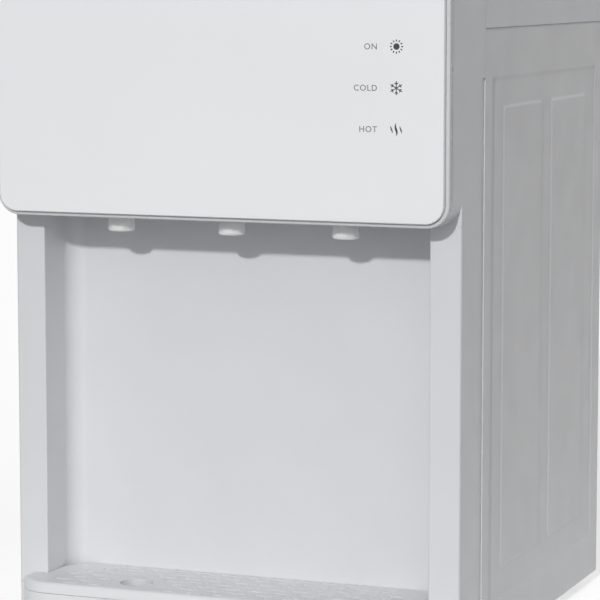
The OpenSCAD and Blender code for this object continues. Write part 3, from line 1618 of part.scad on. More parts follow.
front_cover();
front_base();
front_bezel();
front_plate();
light_guides();
indicator_board();
right_panel();
left_panel();
back_panel();
top_cover();
base_pan();
feet();
foot_screws();
case_screws();
hot_button();
room_button();
cold_button();
child_lock();
hot_rod();
room_rod();
cold_rod();
hot_spring();
room_spring();
cold_spring();
hot_tap();
room_tap();
cold_tap();
tap_bracket();
tray_basin();
tray_grille();
bottle_seat();
feed_probe();
seat_gasket();
cold_tank();
separator();
tank_foam();
evaporator_coil();
tank_shelf();
hot_tank();
heater_band();
hot_jacket();
hot_stand();
compressor();
comp_grommets();
comp_bolts();
relay_cover();
filter_drier();
refrigerant_pipes();
condenser_tube();
condenser_wires();
condenser_clips();
water_hoses();
drain_spigot();
drain_cap();
switch_housings();
hot_rocker();
cold_rocker();
cord_gland();
control_board();
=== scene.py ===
"""Dresses the countertop water dispenser: finishes, side panels, front plate, marks and stage."""

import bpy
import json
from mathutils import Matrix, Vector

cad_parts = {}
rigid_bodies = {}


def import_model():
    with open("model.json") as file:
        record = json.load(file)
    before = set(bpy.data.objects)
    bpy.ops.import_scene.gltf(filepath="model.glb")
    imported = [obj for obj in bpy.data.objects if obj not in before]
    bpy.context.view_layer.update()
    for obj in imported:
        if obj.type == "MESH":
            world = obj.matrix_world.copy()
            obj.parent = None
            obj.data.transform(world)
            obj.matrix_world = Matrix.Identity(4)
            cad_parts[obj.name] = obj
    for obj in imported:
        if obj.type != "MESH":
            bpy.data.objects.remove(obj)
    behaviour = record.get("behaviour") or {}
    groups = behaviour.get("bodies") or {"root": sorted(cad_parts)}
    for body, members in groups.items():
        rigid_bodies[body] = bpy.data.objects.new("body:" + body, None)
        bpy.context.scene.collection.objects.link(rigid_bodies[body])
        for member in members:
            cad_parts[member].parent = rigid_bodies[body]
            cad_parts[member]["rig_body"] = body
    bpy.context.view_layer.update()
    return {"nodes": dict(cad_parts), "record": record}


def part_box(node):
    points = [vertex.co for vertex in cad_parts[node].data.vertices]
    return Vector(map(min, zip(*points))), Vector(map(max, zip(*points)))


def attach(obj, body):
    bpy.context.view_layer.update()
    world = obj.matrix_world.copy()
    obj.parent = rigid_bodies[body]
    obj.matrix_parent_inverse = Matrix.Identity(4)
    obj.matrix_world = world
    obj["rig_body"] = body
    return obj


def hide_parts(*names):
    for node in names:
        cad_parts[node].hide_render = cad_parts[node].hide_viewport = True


bl_info = {
    "name": "Countertop Water Dispenser",
    "version": (1, 0, 0),
    "blender": (4, 5, 0),
    "location": "View3D > Sidebar > Dispenser",
    "description": "Finishes, panels, marks and studio stage of a countertop water dispenser",
    "category": "Object",
}

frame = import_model()

import json
import math

import bmesh
import bpy
from bpy.props import FloatProperty, FloatVectorProperty, PointerProperty
from mathutils import Vector

MM = 0.001
WELD = 0.002 * MM                    # points of the solids closer than this are one
FLAT = math.radians(0.4)             # faces that meet at less than this are one
NEAR = 0.1 * MM                      # how far off its place a point may lie and still be found
FACE_WEIGHT = 90                     # how much wide faces lead the shading beside rounded edges
FLOOR_RADIUS = 20.0                  # in metres
FLOOR_SHADE = 0.8                    # share of light that the floor sends back near the object
FADE_END = 3                         # the floor has faded at this many times its bounce reach
SENSOR_WIDTH = 36.0                  # in millimetres
VIEW_REACH = 50.0                    # how far the camera sees, in metres
FILL_STOPS = (0.1, 0.55, 0.95)       # turned away from, square to and facing the fill, 0 to 1
CAPITAL_SHARE = 0.7                  # height of a capital as a share of the type's size


# ---------------------------------------------------------------- settings


def colour(name, description, default):
    """A colour that a user can change."""
    return FloatVectorProperty(name=name, description=description, default=default,
                               size=3, min=0.0, max=1.0, subtype="COLOR")


def length(name, description, millimetres):
    """A length that a user can change, given in millimetres."""
    return FloatProperty(name=name, description=description, default=millimetres * MM,
                         min=0.0, subtype="DISTANCE", unit="LENGTH", precision=5)


def angle(name, description, degrees):
    """An angle that a user can change, given in degrees."""
    return FloatProperty(name=name, description=description, default=math.radians(degrees),
                         subtype="ANGLE", unit="ROTATION")


def amount(name, description, default, least=0.0, **limits):
    """A plain number that a user can change."""
    return FloatProperty(name=name, description=description, default=default, min=least, **limits)


class DispenserColours(bpy.types.PropertyGroup):
    """Colours of the dispenser's visible finishes."""

    shell: colour("Covers", "Moulded front and top covers", (0.715, 0.725, 0.745))
    plate: colour("Plate", "Glossy front plate", (0.93, 0.945, 0.965))
    bezel: colour("Bezel", "Ring round the front plate", (0.66, 0.67, 0.68))
    steel: colour("Panels", "Powder coat of the steel panels", (0.665, 0.67, 0.685))
    tray: colour("Tray", "Drip tray and its grille", (0.76, 0.77, 0.785))
    nozzle: colour("Nozzles", "Milky plastic of the taps", (0.93, 0.93, 0.92))
    mark: colour("Marks", "Printed icons", (0.035, 0.037, 0.04))
    words: colour("Words", "Printed words beside the icons", (0.13, 0.132, 0.135))
    hot: colour("Hot button", "Button of the hot tap", (0.56, 0.05, 0.04))
    room: colour("Room button", "Button of the room tap", (0.5, 0.51, 0.52))
    cold: colour("Cold button", "Button of the cold tap", (0.03, 0.13, 0.42))
    coil: colour("Condenser", "Enamel of the condenser", (0.018, 0.018, 0.019))


class DispenserSizes(bpy.types.PropertyGroup):
    """Sizes of the shapes that are made here."""

    edge: length("Moulded edge", "Rounding of moulded edges", 0.5)
    press_depth: length("Pressing depth", "Depth of the pressed field in a side panel", 0.8)
    press_slope: length("Pressing slope", "Width of the sloping edge of a pressing", 2.4)
    press_corner: length("Pressing corner", "Corner rounding of a pressing", 4.0)
    channel: length("Channel", "Width of the deeper channel along the field's front", 10.4)
    channel_depth: length("Channel depth", "Depth of that channel below the field", 0.4)
    field_front: length("Field front", "Panel's front edge to the pressed field", 13.0)
    field_back: length("Field back", "Pressed field to the panel's back edge", 18.0)
    field_low: length("Field low", "Panel's lower edge to the pressed field", 28.0)
    field_high: length("Field high", "Pressed field to the panel's upper edge", 30.0)
    raised_front: length("Raised front", "Field's front to the first raised panel", 28.1)
    raised_back: length("Raised back", "Last raised panel to the field's back", 27.0)
    raised_low: length("Raised low", "Field's lower edge to the raised panels", 21.0)
    raised_high: length("Raised high", "Raised panels to the field's upper edge", 19.0)
    raised_gap: length("Raised gap", "Gap between the raised panels", 22.0)
    sheet: length("Sheet", "Thickness of the steel sheet", 0.8)
    bend: length("Bend", "Rounding of the panel's front bend", 0.35)
    reveal: length("Reveal", "Width of the step down to the covers ahead of the panels", 8.0)
    reveal_edge: length("Reveal edge", "Place of that step's front edge in the solid covers", 2.0)
    flange: length("Flange", "Width of the panel's flanges", 11.0)
    plate_corner: length("Plate corner", "Corner rounding of the front plate", 12.2)
    plate_edge: length("Plate edge", "Rounding of the plate's front edge", 0.9)
    slit: length("Slit", "Slit between plate and bezel", 0.22)
    skirt: length("Skirt", "Reach of the bezel's rim over the cover's rounded edge", 0.45)
    seat: length("Seat", "Width of the bezel's ledge behind the plate", 9.0)
    ink: length("Ink", "Thickness of the printed marks", 0.04)
    mark_size: length("Mark", "Overall size of an icon", 8.6)
    cap_height: length("Cap height", "Height of the printed capitals", 3.7)
    word_end: length("Word end", "Icon's centre to the end of its word", 12.4)


class DispenserStage(bpy.types.PropertyGroup):
    """Light, floor and camera."""

    key_turn: angle("Key turn", "Key light's angle to the right of the front", 6.0)
    key_height: angle("Key height", "Key light's angle above the horizon", 22.5)
    key_spread: angle("Key spread", "Apparent width of the key light", 2.6)
    key: amount("Key", "Strength of the key light", 1.55)
    fill_turn: angle("Fill turn", "Fill light's angle to the right of the front", 28.0)
    front_fill: amount("Front fill", "Strength of the soft light from the fill's side", 0.85)
    side_fill: amount("Side fill", "Strength of the soft light square to the fill", 0.03)
    back_fill: amount("Back fill", "Strength of the soft light from behind", 0.5)
    bounce: amount("Bounce", "Share of light that the floor sends back far from the object", 0.1,
                   max=1.0)
    bounce_reach: amount("Bounce reach", "Distance within which the floor sends back all its light",
                         0.3, least=0.1, unit="LENGTH")
    backdrop: amount("Backdrop", "Brightness of the background", 1.0)
    floor_glow: amount("Floor glow", "Light added to the floor that the camera sees", 0.55)
    focal: amount("Focal length", "Focal length of the camera", 167.17, least=1.0,
                  subtype="DISTANCE_CAMERA")
    pitch: angle("Pitch", "Camera's tilt below the horizon", 6.739)
    yaw: angle("Yaw", "Camera's turn to the left of straight ahead", 21.232)
    camera: FloatVectorProperty(name="Camera", description="Camera's place", size=3,
                                default=(0.6868, -1.8084, 0.4504), subtype="TRANSLATION")


def settings():
    """The scene's dispenser settings: colours, sizes and stage."""
    scene = bpy.context.scene
    return scene.dispenser_colours, scene.dispenser_sizes, scene.dispenser_stage


# ---------------------------------------------------------------- finishes


class Finish:
    """A material whose colour, roughness and bump come from nodes in the object's own space."""

    def __init__(self, name):
        self.material = bpy.data.materials.new(name)
        self.material.use_nodes = True
        self.tree = self.material.node_tree
        self.shader = self.tree.nodes["Principled BSDF"]
        self.place = self.tree.nodes.new("ShaderNodeTexCoord").outputs["Object"]
        self.normal = None

    def node(self, kind, **values):
        """A node of that kind with values on its sockets."""
        made = self.tree.nodes.new(kind)
        for socket, value in values.items():
            made.inputs[socket.replace("_", " ")].default_value = value
        return made

    def link(self, output, target):
        """Feeds a node's output to a socket."""
        self.tree.links.new(output, target)

    def stretched(self, scale):
        """The object's coordinates scaled by axis."""
        mapping = self.node("ShaderNodeMapping", Scale=scale)
        self.link(self.place, mapping.inputs["Vector"])
        return mapping.outputs["Vector"]

    def noise(self, size, detail=2.0, vector=None):
        """Noise whose blots are about size across."""
        noise = self.node("ShaderNodeTexNoise", Scale=1.0 / size, Detail=detail)
        self.link(vector or self.place, noise.inputs["Vector"])
        return noise.outputs["Fac"]

    def cells(self, size, vector=None):
        """Distance to the edges of cells about size across, for beads and tracks."""
        cells = self.node("ShaderNodeTexVoronoi", Scale=1.0 / size)
        cells.feature = "DISTANCE_TO_EDGE"
        self.link(vector or self.place, cells.inputs["Vector"])
        return cells.outputs["Distance"]

    def ramp(self, value, low, high, near=0.3, far=0.7):
        """A value or colour that goes from low to high as value goes from near to far."""
        ramp = self.tree.nodes.new("ShaderNodeValToRGB")
        points = ramp.color_ramp.elements
        for point, position, shade in ((points[0], near, low), (points[1], far, high)):
            point.position = position
            point.color = (*shade, 1.0) if hasattr(shade, "__len__") else (shade, shade, shade, 1.0)
        self.link(value, ramp.inputs["Fac"])
        return ramp.outputs["Color"]

    def colour(self, base, spread, size, detail=3.0, tint=(1.0, 1.0, 1.0)):
        """Base colour that drifts by spread over blots of that size; tint shades its dark end."""
        dark = [c * (1.0 - spread) * t for c, t in zip(base, tint)]
        light = [min(c * (1.0 + spread), 1.0) for c in base]
        self.link(self.ramp(self.noise(size, detail), dark, light), self.shader.inputs["Base Color"])

    def rough(self, low, high, size, detail=3.0, vector=None):
        """Roughness that drifts between low and high."""
        drift = self.ramp(self.noise(size, detail, vector), low, high)
        self.link(drift, self.shader.inputs["Roughness"])

    def bump(self, value, depth, strength=1.0):
        """Adds a bump of that depth on top of those before it."""
        bump = self.node("ShaderNodeBump", Strength=strength, Distance=depth)
        self.link(value, bump.inputs["Height"])
        if self.normal:
            self.link(self.normal, bump.inputs["Normal"])
        self.normal = bump.outputs["Normal"]
        self.link(self.normal, self.shader.inputs["Normal"])

    def set(self, **values):
        """Plain numbers on the shader's own sockets."""
        for socket, value in values.items():
            self.shader.inputs[socket.replace("_", " ")].default_value = value


def moulded(name, base, low=0.3, high=0.38, grain=0.35 * MM, depth=0.004 * MM, drift=0.012):
    """Moulded plastic: fine grain, faint flow marks and a roughness that drifts."""
    finish = Finish(name)
    finish.colour(base, spread=drift, size=45 * MM, tint=(0.995, 1.0, 1.0))
    finish.rough(low, high, size=18 * MM)
    finish.bump(finish.noise(60 * MM, detail=1.0), depth=0.05 * MM, strength=0.6)
    finish.bump(finish.noise(grain), depth)
    finish.set(IOR=1.5)
    return finish


def powder_coat(name, base):
    """Powder coat on sheet steel: orange peel over a faint waviness of the sheet."""
    finish = Finish(name)
    finish.colour(base, spread=0.012, size=70 * MM)
    finish.rough(0.34, 0.44, size=25 * MM)
    finish.bump(finish.noise(90 * MM, detail=1.0), depth=0.06 * MM, strength=0.7)
    finish.bump(finish.noise(1.3 * MM), depth=0.008 * MM)
    finish.set(IOR=1.5, Coat_Weight=0.15, Coat_Roughness=0.25)
    return finish


def gloss_plate(name, base):
    """Glossy printed plate: clear coat over an even colour, with faint wiping marks."""
    finish = Finish(name)
    finish.colour(base, spread=0.006, size=80 * MM)
    finish.rough(0.2, 0.27, size=30 * MM, vector=finish.stretched((1.0, 1.0, 0.35)))
    finish.bump(finish.noise(50 * MM, detail=1.0), depth=0.02 * MM, strength=0.5)
    finish.set(IOR=1.5, Coat_Weight=0.5, Coat_Roughness=0.08)
    return finish


def milky(name, base, low=0.3, high=0.4, glow=0.25):
    """Milky plastic that lets light in; glow is the share that spreads under its surface."""
    finish = Finish(name)
    finish.colour(base, spread=0.02, size=9 * MM)
    finish.rough(low, high, size=4 * MM)
    finish.bump(finish.noise(0.5 * MM), depth=0.006 * MM)
    finish.set(IOR=1.5, Subsurface_Weight=glow, Subsurface_Radius=(0.006, 0.006, 0.0055),
               Subsurface_Scale=1.0)
    return finish


def sheet_metal(name, base, low=0.28, high=0.45, along=(1.0, 1.0, 0.04)):
    """Bare or plated metal with brushing along one axis and a cloudy sheen."""
    finish = Finish(name)
    lines = finish.noise(0.25 * MM, vector=finish.stretched(along))
    finish.colour(base, spread=0.08, size=14 * MM)
    finish.rough(low, high, size=6 * MM)
    finish.bump(lines, depth=0.004 * MM)
    finish.set(Metallic=1.0)
    return finish


def copper(name, base):
    """Drawn copper with darker, duller blots."""
    finish = Finish(name)
    finish.colour(base, spread=0.22, size=9 * MM, tint=(0.9, 0.8, 0.75))
    finish.rough(0.25, 0.5, size=7 * MM)
    finish.bump(finish.noise(0.4 * MM), depth=0.006 * MM)
    finish.set(Metallic=1.0)
    return finish


def enamel(name, base, low=0.3, high=0.5):
    """Dipped enamel with sags and a little settled dust."""
    finish = Finish(name)
    finish.colour(base, spread=0.35, size=12 * MM)
    finish.rough(low, high, size=8 * MM)
    finish.bump(finish.noise(3 * MM), depth=0.03 * MM)
    finish.set(IOR=1.5, Coat_Weight=0.3, Coat_Roughness=0.2)
    return finish


def rubber(name, base):
    """Moulded rubber with a bloom in its roughness."""
    finish = Finish(name)
    finish.colour(base, spread=0.15, size=6 * MM)
    finish.rough(0.62, 0.8, size=5 * MM)
    finish.bump(finish.noise(0.5 * MM, detail=3.0), depth=0.02 * MM)
    return finish


def bead_foam(name, base):
    """Expanded foam: beads pressed flat against each other."""
    finish = Finish(name)
    edge = finish.cells(3.2 * MM)
    shade = [c * 0.86 for c in base]
    beads = finish.ramp(edge, shade, base, near=0.0, far=0.12)
    finish.link(beads, finish.shader.inputs["Base Color"])
    finish.rough(0.75, 0.9, size=3 * MM)
    finish.bump(edge, depth=0.25 * MM, strength=0.8)
    return finish


def felt(name, base):
    """Glass-fibre felt: crossed short fibres."""
    finish = Finish(name)
    across = finish.noise(0.7 * MM, 3.0, finish.stretched((1.0, 0.12, 0.4)))
    along = finish.noise(0.7 * MM, 3.0, finish.stretched((0.12, 1.0, 0.4)))
    finish.colour(base, spread=0.18, size=2 * MM)
    finish.rough(0.85, 0.98, size=2 * MM)
    finish.bump(across, depth=0.3 * MM)
    finish.bump(along, depth=0.3 * MM)
    return finish


def circuit(name, base):
    """Solder-masked laminate with tracks under the mask."""
    finish = Finish(name)
    tracks = finish.cells(3.0 * MM, finish.stretched((1.0, 1.0, 0.25)))
    light = [c * 1.6 for c in base]
    pattern = finish.ramp(tracks, light, base, near=0.05, far=0.07)
    finish.link(pattern, finish.shader.inputs["Base Color"])
    finish.rough(0.25, 0.35, size=3 * MM)
    finish.bump(tracks, depth=0.03 * MM)
    return finish


def ink(name, base):
    """Screen-printed ink with a slightly uneven film."""
    finish = Finish(name)
    finish.colour(base, spread=0.1, size=0.8 * MM)
    finish.rough(0.4, 0.5, size=0.6 * MM)
    finish.bump(finish.noise(0.2 * MM), depth=0.002 * MM)
    return finish


FINISHES = {}


def finishes():
    """Every material by its material slot in the record, made once.

    The pair of numbers after a colour is the least and the greatest roughness.
    """
    if FINISHES:
        return FINISHES
    colours = settings()[0]
    FINISHES.update(
        shell_white=moulded("covers_satin", tuple(colours.shell)),
        plate_white=gloss_plate("plate_gloss", tuple(colours.plate)),
        bezel_grey=moulded("bezel_satin", tuple(colours.bezel), 0.25, 0.32),
        steel_white=powder_coat("panel_powder_coat", tuple(colours.steel)),
        tray_white=moulded("tray_satin", tuple(colours.tray), 0.36, 0.46, grain=0.6 * MM,
                           depth=0.008 * MM),
        tap_white=milky("tap_milky", tuple(colours.nozzle), glow=0.8),
        key_red=moulded("button_red", tuple(colours.hot), 0.22, 0.3),
        key_grey=moulded("button_grey", tuple(colours.room), 0.22, 0.3),
        key_blue=moulded("button_blue", tuple(colours.cold), 0.22, 0.3),
        rod_white=moulded("acetal", (0.7, 0.7, 0.68), 0.4, 0.5),
        clear_guide=milky("light_guide", (0.8, 0.82, 0.82), 0.12, 0.2),
        circuit_green=circuit("circuit_board", (0.02, 0.12, 0.05)),
        zinc_steel=sheet_metal("zinc_plate", (0.55, 0.56, 0.58)),
        stainless=sheet_metal("stainless_brushed", (0.6, 0.6, 0.6), 0.2, 0.34),
        spring_steel=sheet_metal("spring_steel", (0.5, 0.5, 0.51), 0.22, 0.34, along=(1.0, 1.0, 1.0)),
        black_enamel=enamel("compressor_enamel", (0.012, 0.012, 0.013)),
        condenser_black=enamel("condenser_enamel", tuple(colours.coil), 0.4, 0.58),
        copper=copper("drawn_copper", (0.75, 0.36, 0.2)),
        rubber_grey=rubber("rubber_dark", (0.035, 0.035, 0.038)),
        silicone=milky("silicone_hose", (0.72, 0.72, 0.69), 0.35, 0.5),
        foam_white=bead_foam("bead_foam", (0.8, 0.8, 0.77)),
        felt_grey=felt("glass_felt", (0.42, 0.42, 0.4)),
        black_plastic=moulded("black_plastic", (0.02, 0.02, 0.021), 0.35, 0.5, grain=0.4 * MM,
                              depth=0.01 * MM, drift=0.1),
        rocker_red=moulded("rocker_red", (0.5, 0.02, 0.015), 0.2, 0.3),
        rocker_green=moulded("rocker_green", (0.01, 0.25, 0.06), 0.2, 0.3),
        band_brass=sheet_metal("heater_sheath", (0.6, 0.45, 0.22), 0.3, 0.5),
    )
    return FINISHES


def node_slot(node):
    """The record's material slot of a CAD node."""
    parts = frame["record"]["subparts"]
    return next(part["material_slot"] for part in parts if part["node"] == node)


def node_body(node):
    """The body that a CAD node rides on."""
    return frame["nodes"][node]["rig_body"]


# ---------------------------------------------------------------- meshes


def paint(piece, material):
    """Makes one material the whole of a piece's look."""
    piece.data.materials.clear()
    piece.data.materials.append(material)


def wear(piece, slot):
    """Gives a piece the finish of a material slot."""
    paint(piece, finishes()[slot].material)


def new_piece(name, bm, slot, body, smooth=35.0):
    """A finished piece from a bmesh, smooth up to an angle in degrees, riding on a body."""
    bmesh.ops.recalc_face_normals(bm, faces=bm.faces)
    mesh = bpy.data.meshes.new(name)
    bm.to_mesh(mesh)
    bm.free()
    mesh.shade_smooth()
    mesh.set_sharp_from_angle(angle=math.radians(smooth))
    piece = bpy.data.objects.new(name, mesh)
    bpy.context.scene.collection.objects.link(piece)
    wear(piece, slot)
    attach(piece, body)
    return piece


def stand_in(node, ending, bm, smooth):
    """A piece made here that stands for a CAD node; its name is the node's with an ending."""
    piece = new_piece(node + ending, bm, node_slot(node), node_body(node), smooth)
    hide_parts(node)


def apply_modifiers(piece):
    """Turns what the modifiers make into the piece's own mesh."""
    bpy.context.view_layer.update()
    evaluated = piece.evaluated_get(bpy.context.evaluated_depsgraph_get())
    mesh = bpy.data.meshes.new_from_object(evaluated)
    piece.modifiers.clear()
    piece.data = mesh


def even_normals(piece):
    """Keeps wide faces flat in the shading beside small rounded edges."""
    weighted = piece.modifiers.new("Even", "WEIGHTED_NORMAL")
    weighted.keep_sharp = True
    weighted.weight = FACE_WEIGHT


def widen_reveal(bm):
    """Moves the front edge of the step ahead of the side panels forward, where light reaches it."""
    sizes = settings()[1]
    panel_low, panel_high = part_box("right_panel")
    edge = panel_low.y - sizes.reveal_edge
    bottom = panel_high.x - sizes.sheet - NEAR
    for vert in bm.verts:
        on_step = abs(vert.co.x) > bottom and vert.co.z < panel_high.z
        if on_step and abs(vert.co.y - edge) < NEAR:
            vert.co.y = panel_low.y - sizes.reveal


def skin(node, edge=None, segments=2, smooth=35.0, bend=40.0, change=None):
    """A copy of a CAD node with its edges rounded, which stands for the node.

    Faces that meet at less than smooth degrees shade as one, and edges that turn by more than bend
    degrees are rounded. A change is made to the mesh before that.
    """
    sizes = settings()[1]
    bm = bmesh.new()
    bm.from_mesh(frame["nodes"][node].data)
    bmesh.ops.remove_doubles(bm, verts=bm.verts, dist=WELD)
    bmesh.ops.dissolve_limit(bm, angle_limit=FLAT, verts=bm.verts, edges=bm.edges)
    if change:
        change(bm)
    piece = new_piece(node + "_skin", bm, node_slot(node), node_body(node), smooth)
    bevel = piece.modifiers.new("Edges", "BEVEL")
    bevel.width = sizes.edge if edge is None else edge
    bevel.segments = segments
    bevel.limit_method = "ANGLE"
    bevel.angle_limit = math.radians(bend)
    bevel.miter_outer = "MITER_ARC"
    bevel.use_clamp_overlap = True
    even_normals(piece)
    apply_modifiers(piece)
    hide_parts(node)


def quarter(steps):
    """Sine and cosine at even steps through a quarter turn."""
    turns = [math.pi / 2 * i / steps for i in range(steps + 1)]
    return [(math.sin(turn), math.cos(turn)) for turn in turns]


def rounded_loop(low, high, radius, steps=12):
    """Points (x, z) round a rectangle with round corners, counter-clockwise."""
    centres = ((high.x - radius, high.y - radius, 0), (low.x + radius, high.y - radius, 1),
               (low.x + radius, low.y + radius, 2), (high.x - radius, low.y + radius, 3))
    points = []
    for x, z, corner in centres:
        for i in range(steps + 1):
            turn = math.pi / 2 * (corner + i / steps)
            points.append(Vector((x + radius * math.cos(turn), z + radius * math.sin(turn))))
    return points


def loft(bm, loops, closed):
    """Joins loops of points; closed joins the last to the first, otherwise both ends get a face."""
    rings = [[bm.verts.new(p) for p in loop] for loop in loops]
    pairs = list(zip(rings, rings[1:] + rings[:1] if closed else rings[1:]))
    for a, b in pairs:
        for i in range(len(a)):
            j = (i + 1) % len(a)
            bm.faces.new((a[i], a[j], b[j], b[i]))
    if not closed:
        bm.faces.new(rings[0])
        bm.faces.new(list(reversed(rings[-1])))


def add_box(bm, low, high):
    """A closed box between two corners."""
    corners = [bm.verts.new((x, y, z)) for x in (low[0], high[0]) for y in (low[1], high[1])
               for z in (low[2], high[2])]
    for face in ((0, 1, 3, 2), (4, 6, 7, 5), (0, 4, 5, 1), (2, 3, 7, 6), (0, 2, 6, 4), (1, 5, 7, 3)):
        bm.faces.new([corners[i] for i in face])


# ---------------------------------------------------------------- side panels


def step(value):
    """Smooth step from 0 to 1."""
    t = min(max(value, 0.0), 1.0)
    return t * t * (3.0 - 2.0 * t)


def inside_depth(point, low, high, radius):
    """How far a point lies inside a rectangle with round corners; negative outside."""
    centre = (low + high) / 2
    half = (high - low) / 2
    dx = abs(point.x - centre.x) - half.x + radius
    dz = abs(point.y - centre.y) - half.y + radius
    outside = Vector((max(dx, 0.0), max(dz, 0.0))).length
    return radius - outside - min(max(dx, dz), 0.0)


def pressing_outlines(low, high):
    """Corners in (y, z) of the pressed field, the channel along its front and its raised panels."""
    sizes = settings()[1]
    front_share = 0.51               # how much of the raised panels' width is the front one's
    field = (low + Vector((sizes.field_front, sizes.field_low)),
             high - Vector((sizes.field_back, sizes.field_high)))
    channel = (field[0], Vector((field[0].x + sizes.channel, field[1].y)))
    first = field[0] + Vector((sizes.raised_front, sizes.raised_low))
    last = field[1] - Vector((sizes.raised_back, sizes.raised_high))
    middle = first.x + (last.x - first.x - sizes.raised_gap) * front_share
    raised = [(first, Vector((middle, last.y))),
              (Vector((middle + sizes.raised_gap, first.y)), last)]
    return field, channel, raised


def grid_lines(start, end, edges, reach, fine=0.6 * MM, coarse=9 * MM):
    """Places from start to end, close together near the edges and far apart elsewhere."""
    places = [start]
    while places[-1] < end - fine / 2:
        here = places[-1]
        if min(abs(here - e) for e in edges) < reach + fine / 10:
            stride = fine
        else:
            ahead = [e - reach - here for e in edges if e - reach > here + fine / 10]
            stride = min([coarse] + ahead)
        places.append(min(here + stride, end))
    return places


def panel_profile(low, high, lines):
    """The panel's outer face seen from above, as (x, y, outward x, outward y, side face or not)."""
    sizes = settings()[1]
    x, y = high.x, low.y
    bend = sizes.bend
    profile = [(x - sizes.flange, y, 0.0, -1.0, False)]
    for sine, cosine in quarter(6):
        profile.append((x - bend + bend * sine, y + bend - bend * cosine, sine, -cosine, False))
    profile += [(x, place, 1.0, 0.0, True) for place in lines if place > y + bend + NEAR]
    return profile


def pressing_depth(point, outlines):
    """How deep the panel is pressed in at a point (y, z)."""
    sizes = settings()[1]
    field, channel, raised = outlines

    def share(corners):
        """How much of a pressing with those corners is reached, from 0 to 1."""
        return step(inside_depth(point, *corners, sizes.press_corner) / sizes.press_slope)

    depth = sizes.channel_depth * share(channel) + sizes.press_depth * share(field)
    for corners in raised:
        depth -= sizes.press_depth * share(corners)
    return depth


def panel_skin(bm, profile, heights, outlines, inset, mirror):
    """Rows of points over one face of the sheet, which lies inset behind the panel's outside."""
    rows = []
    for z in heights:
        row = []
        for x, y, out_x, out_y, pressed in profile:
            inward = inset + (pressing_depth(Vector((y, z)), outlines) if pressed else 0.0)
            row.append(bm.verts.new((mirror * (x - out_x * inward), y - out_y * inward, z)))
        rows.append(row)
    return rows


def join_skins(bm, outer, inner):
    """Faces over two skins of the sheet and along their four edges."""
    rows, columns = len(outer), len(outer[0])
    for i in range(rows - 1):
        for j in range(columns - 1):
            k = j + 1
            bm.faces.new((outer[i][j], outer[i][k], outer[i + 1][k], outer[i + 1][j]))
            bm.faces.new((inner[i][j], inner[i + 1][j], inner[i + 1][k], inner[i][k]))
    for i in (0, -1):
        for j in range(columns - 1):
            bm.faces.new((outer[i][j], outer[i][j + 1], inner[i][j + 1], inner[i][j]))
    for j in (0, -1):
        for i in range(rows - 1):
            bm.faces.new((outer[i][j], outer[i + 1][j], inner[i + 1][j], inner[i][j]))


def side_panel_mesh(node):
    """A steel side panel with its pressed field, raised panels and flanges."""
    sizes = settings()[1]
    sheet = sizes.sheet
    low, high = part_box("right_panel")
    outlines = pressing_outlines(Vector((low.y, low.z)), Vector((high.y, high.z)))
    field, channel, raised = outlines
    corners = [corner for pair in (field, channel, *raised) for corner in pair]
    reach = sizes.press_corner + sizes.press_slope
    lines = grid_lines(low.y + sizes.bend, high.y, [corner.x for corner in corners], reach)
    heights = grid_lines(low.z, high.z, [corner.y for corner in corners], reach)
    profile = panel_profile(low, high, lines)
    mirror = -1.0 if node == "left_panel" else 1.0
    bm = bmesh.new()
    join_skins(bm, panel_skin(bm, profile, heights, outlines, 0.0, mirror),
               panel_skin(bm, profile, heights, outlines, sheet, mirror))
    gap = 0.02 * MM
    near, far = sorted((mirror * (high.x - sizes.flange), mirror * (high.x - sheet - gap)))
    back = high.y - 2 * sheet
    add_box(bm, (near, low.y + sheet + gap, low.z), (far, back, low.z + sheet))
    add_box(bm, (near, back, low.z), (far, back + sheet, high.z))
    return bm


# ---------------------------------------------------------------- printed marks


def prism(bm, outline, front, back):
    """A flat shape given by (x, z) points, from y = front to y = back."""
    loft(bm, [[Vector((x, y, z)) for x, z in outline] for y in (front, back)], closed=False)


def polar(centre, radius, turn):
    """The point at that distance and turn from the centre."""
    return (centre[0] + radius * math.cos(turn), centre[1] + radius * math.sin(turn))


def ring_points(centre, radius, count=40):
    """Points round a circle."""
    return [polar(centre, radius, math.tau * i / count) for i in range(count)]


def stroke(path, width):
    """Outline of a stroke along (x, z) points; width gives its half width at t from 0 to 1."""
    left, right = [], []
    last = len(path) - 1
    for i, point in enumerate(path):
        a, b = Vector(path[max(i - 1, 0)]), Vector(path[min(i + 1, last)])
        along = (b - a).normalized()
        across = Vector((-along.y, along.x)) * width(i / last)
        left.append(tuple(Vector(point) + across))
        right.append(tuple(Vector(point) - across))
    return left + right[::-1]


def sun_mark(bm, centre, size, front, back):
    """A disc with twelve short rays."""
    rays, disc, thick = 12, 0.235, 0.043
    prism(bm, ring_points(centre, size * disc), front, back)
    for i in range(rays):
        ray = [polar(centre, size * reach, math.tau * i / rays) for reach in (0.36, 0.43, 0.5)]
        prism(bm, stroke(ray, lambda t: size * thick), front, back)


def frost_mark(bm, centre, size, front, back):
    """Six arms with a pair of twigs each."""
    arms, hub, thick = 6, 0.08, 0.034
    fork, twig, twig_start, twig_thick, spread = 0.27, 0.17, 0.035, 0.032, math.radians(48)
    for i in range(arms):
        turn = math.tau * i / arms + math.pi / 2
        arm = [polar(centre, size * reach, turn) for reach in (0.07, 0.28, 0.5)]
        prism(bm, stroke(arm, lambda t: size * thick), front, back)
        root = polar(centre, size * fork, turn)
        for side in (-1, 1):
            ends = [polar(root, size * reach, turn + side * spread) for reach in (twig_start, twig)]
            prism(bm, stroke(ends, lambda t: size * twig_thick), front, back)
    prism(bm, ring_points(centre, size * hub, 12), front, back)


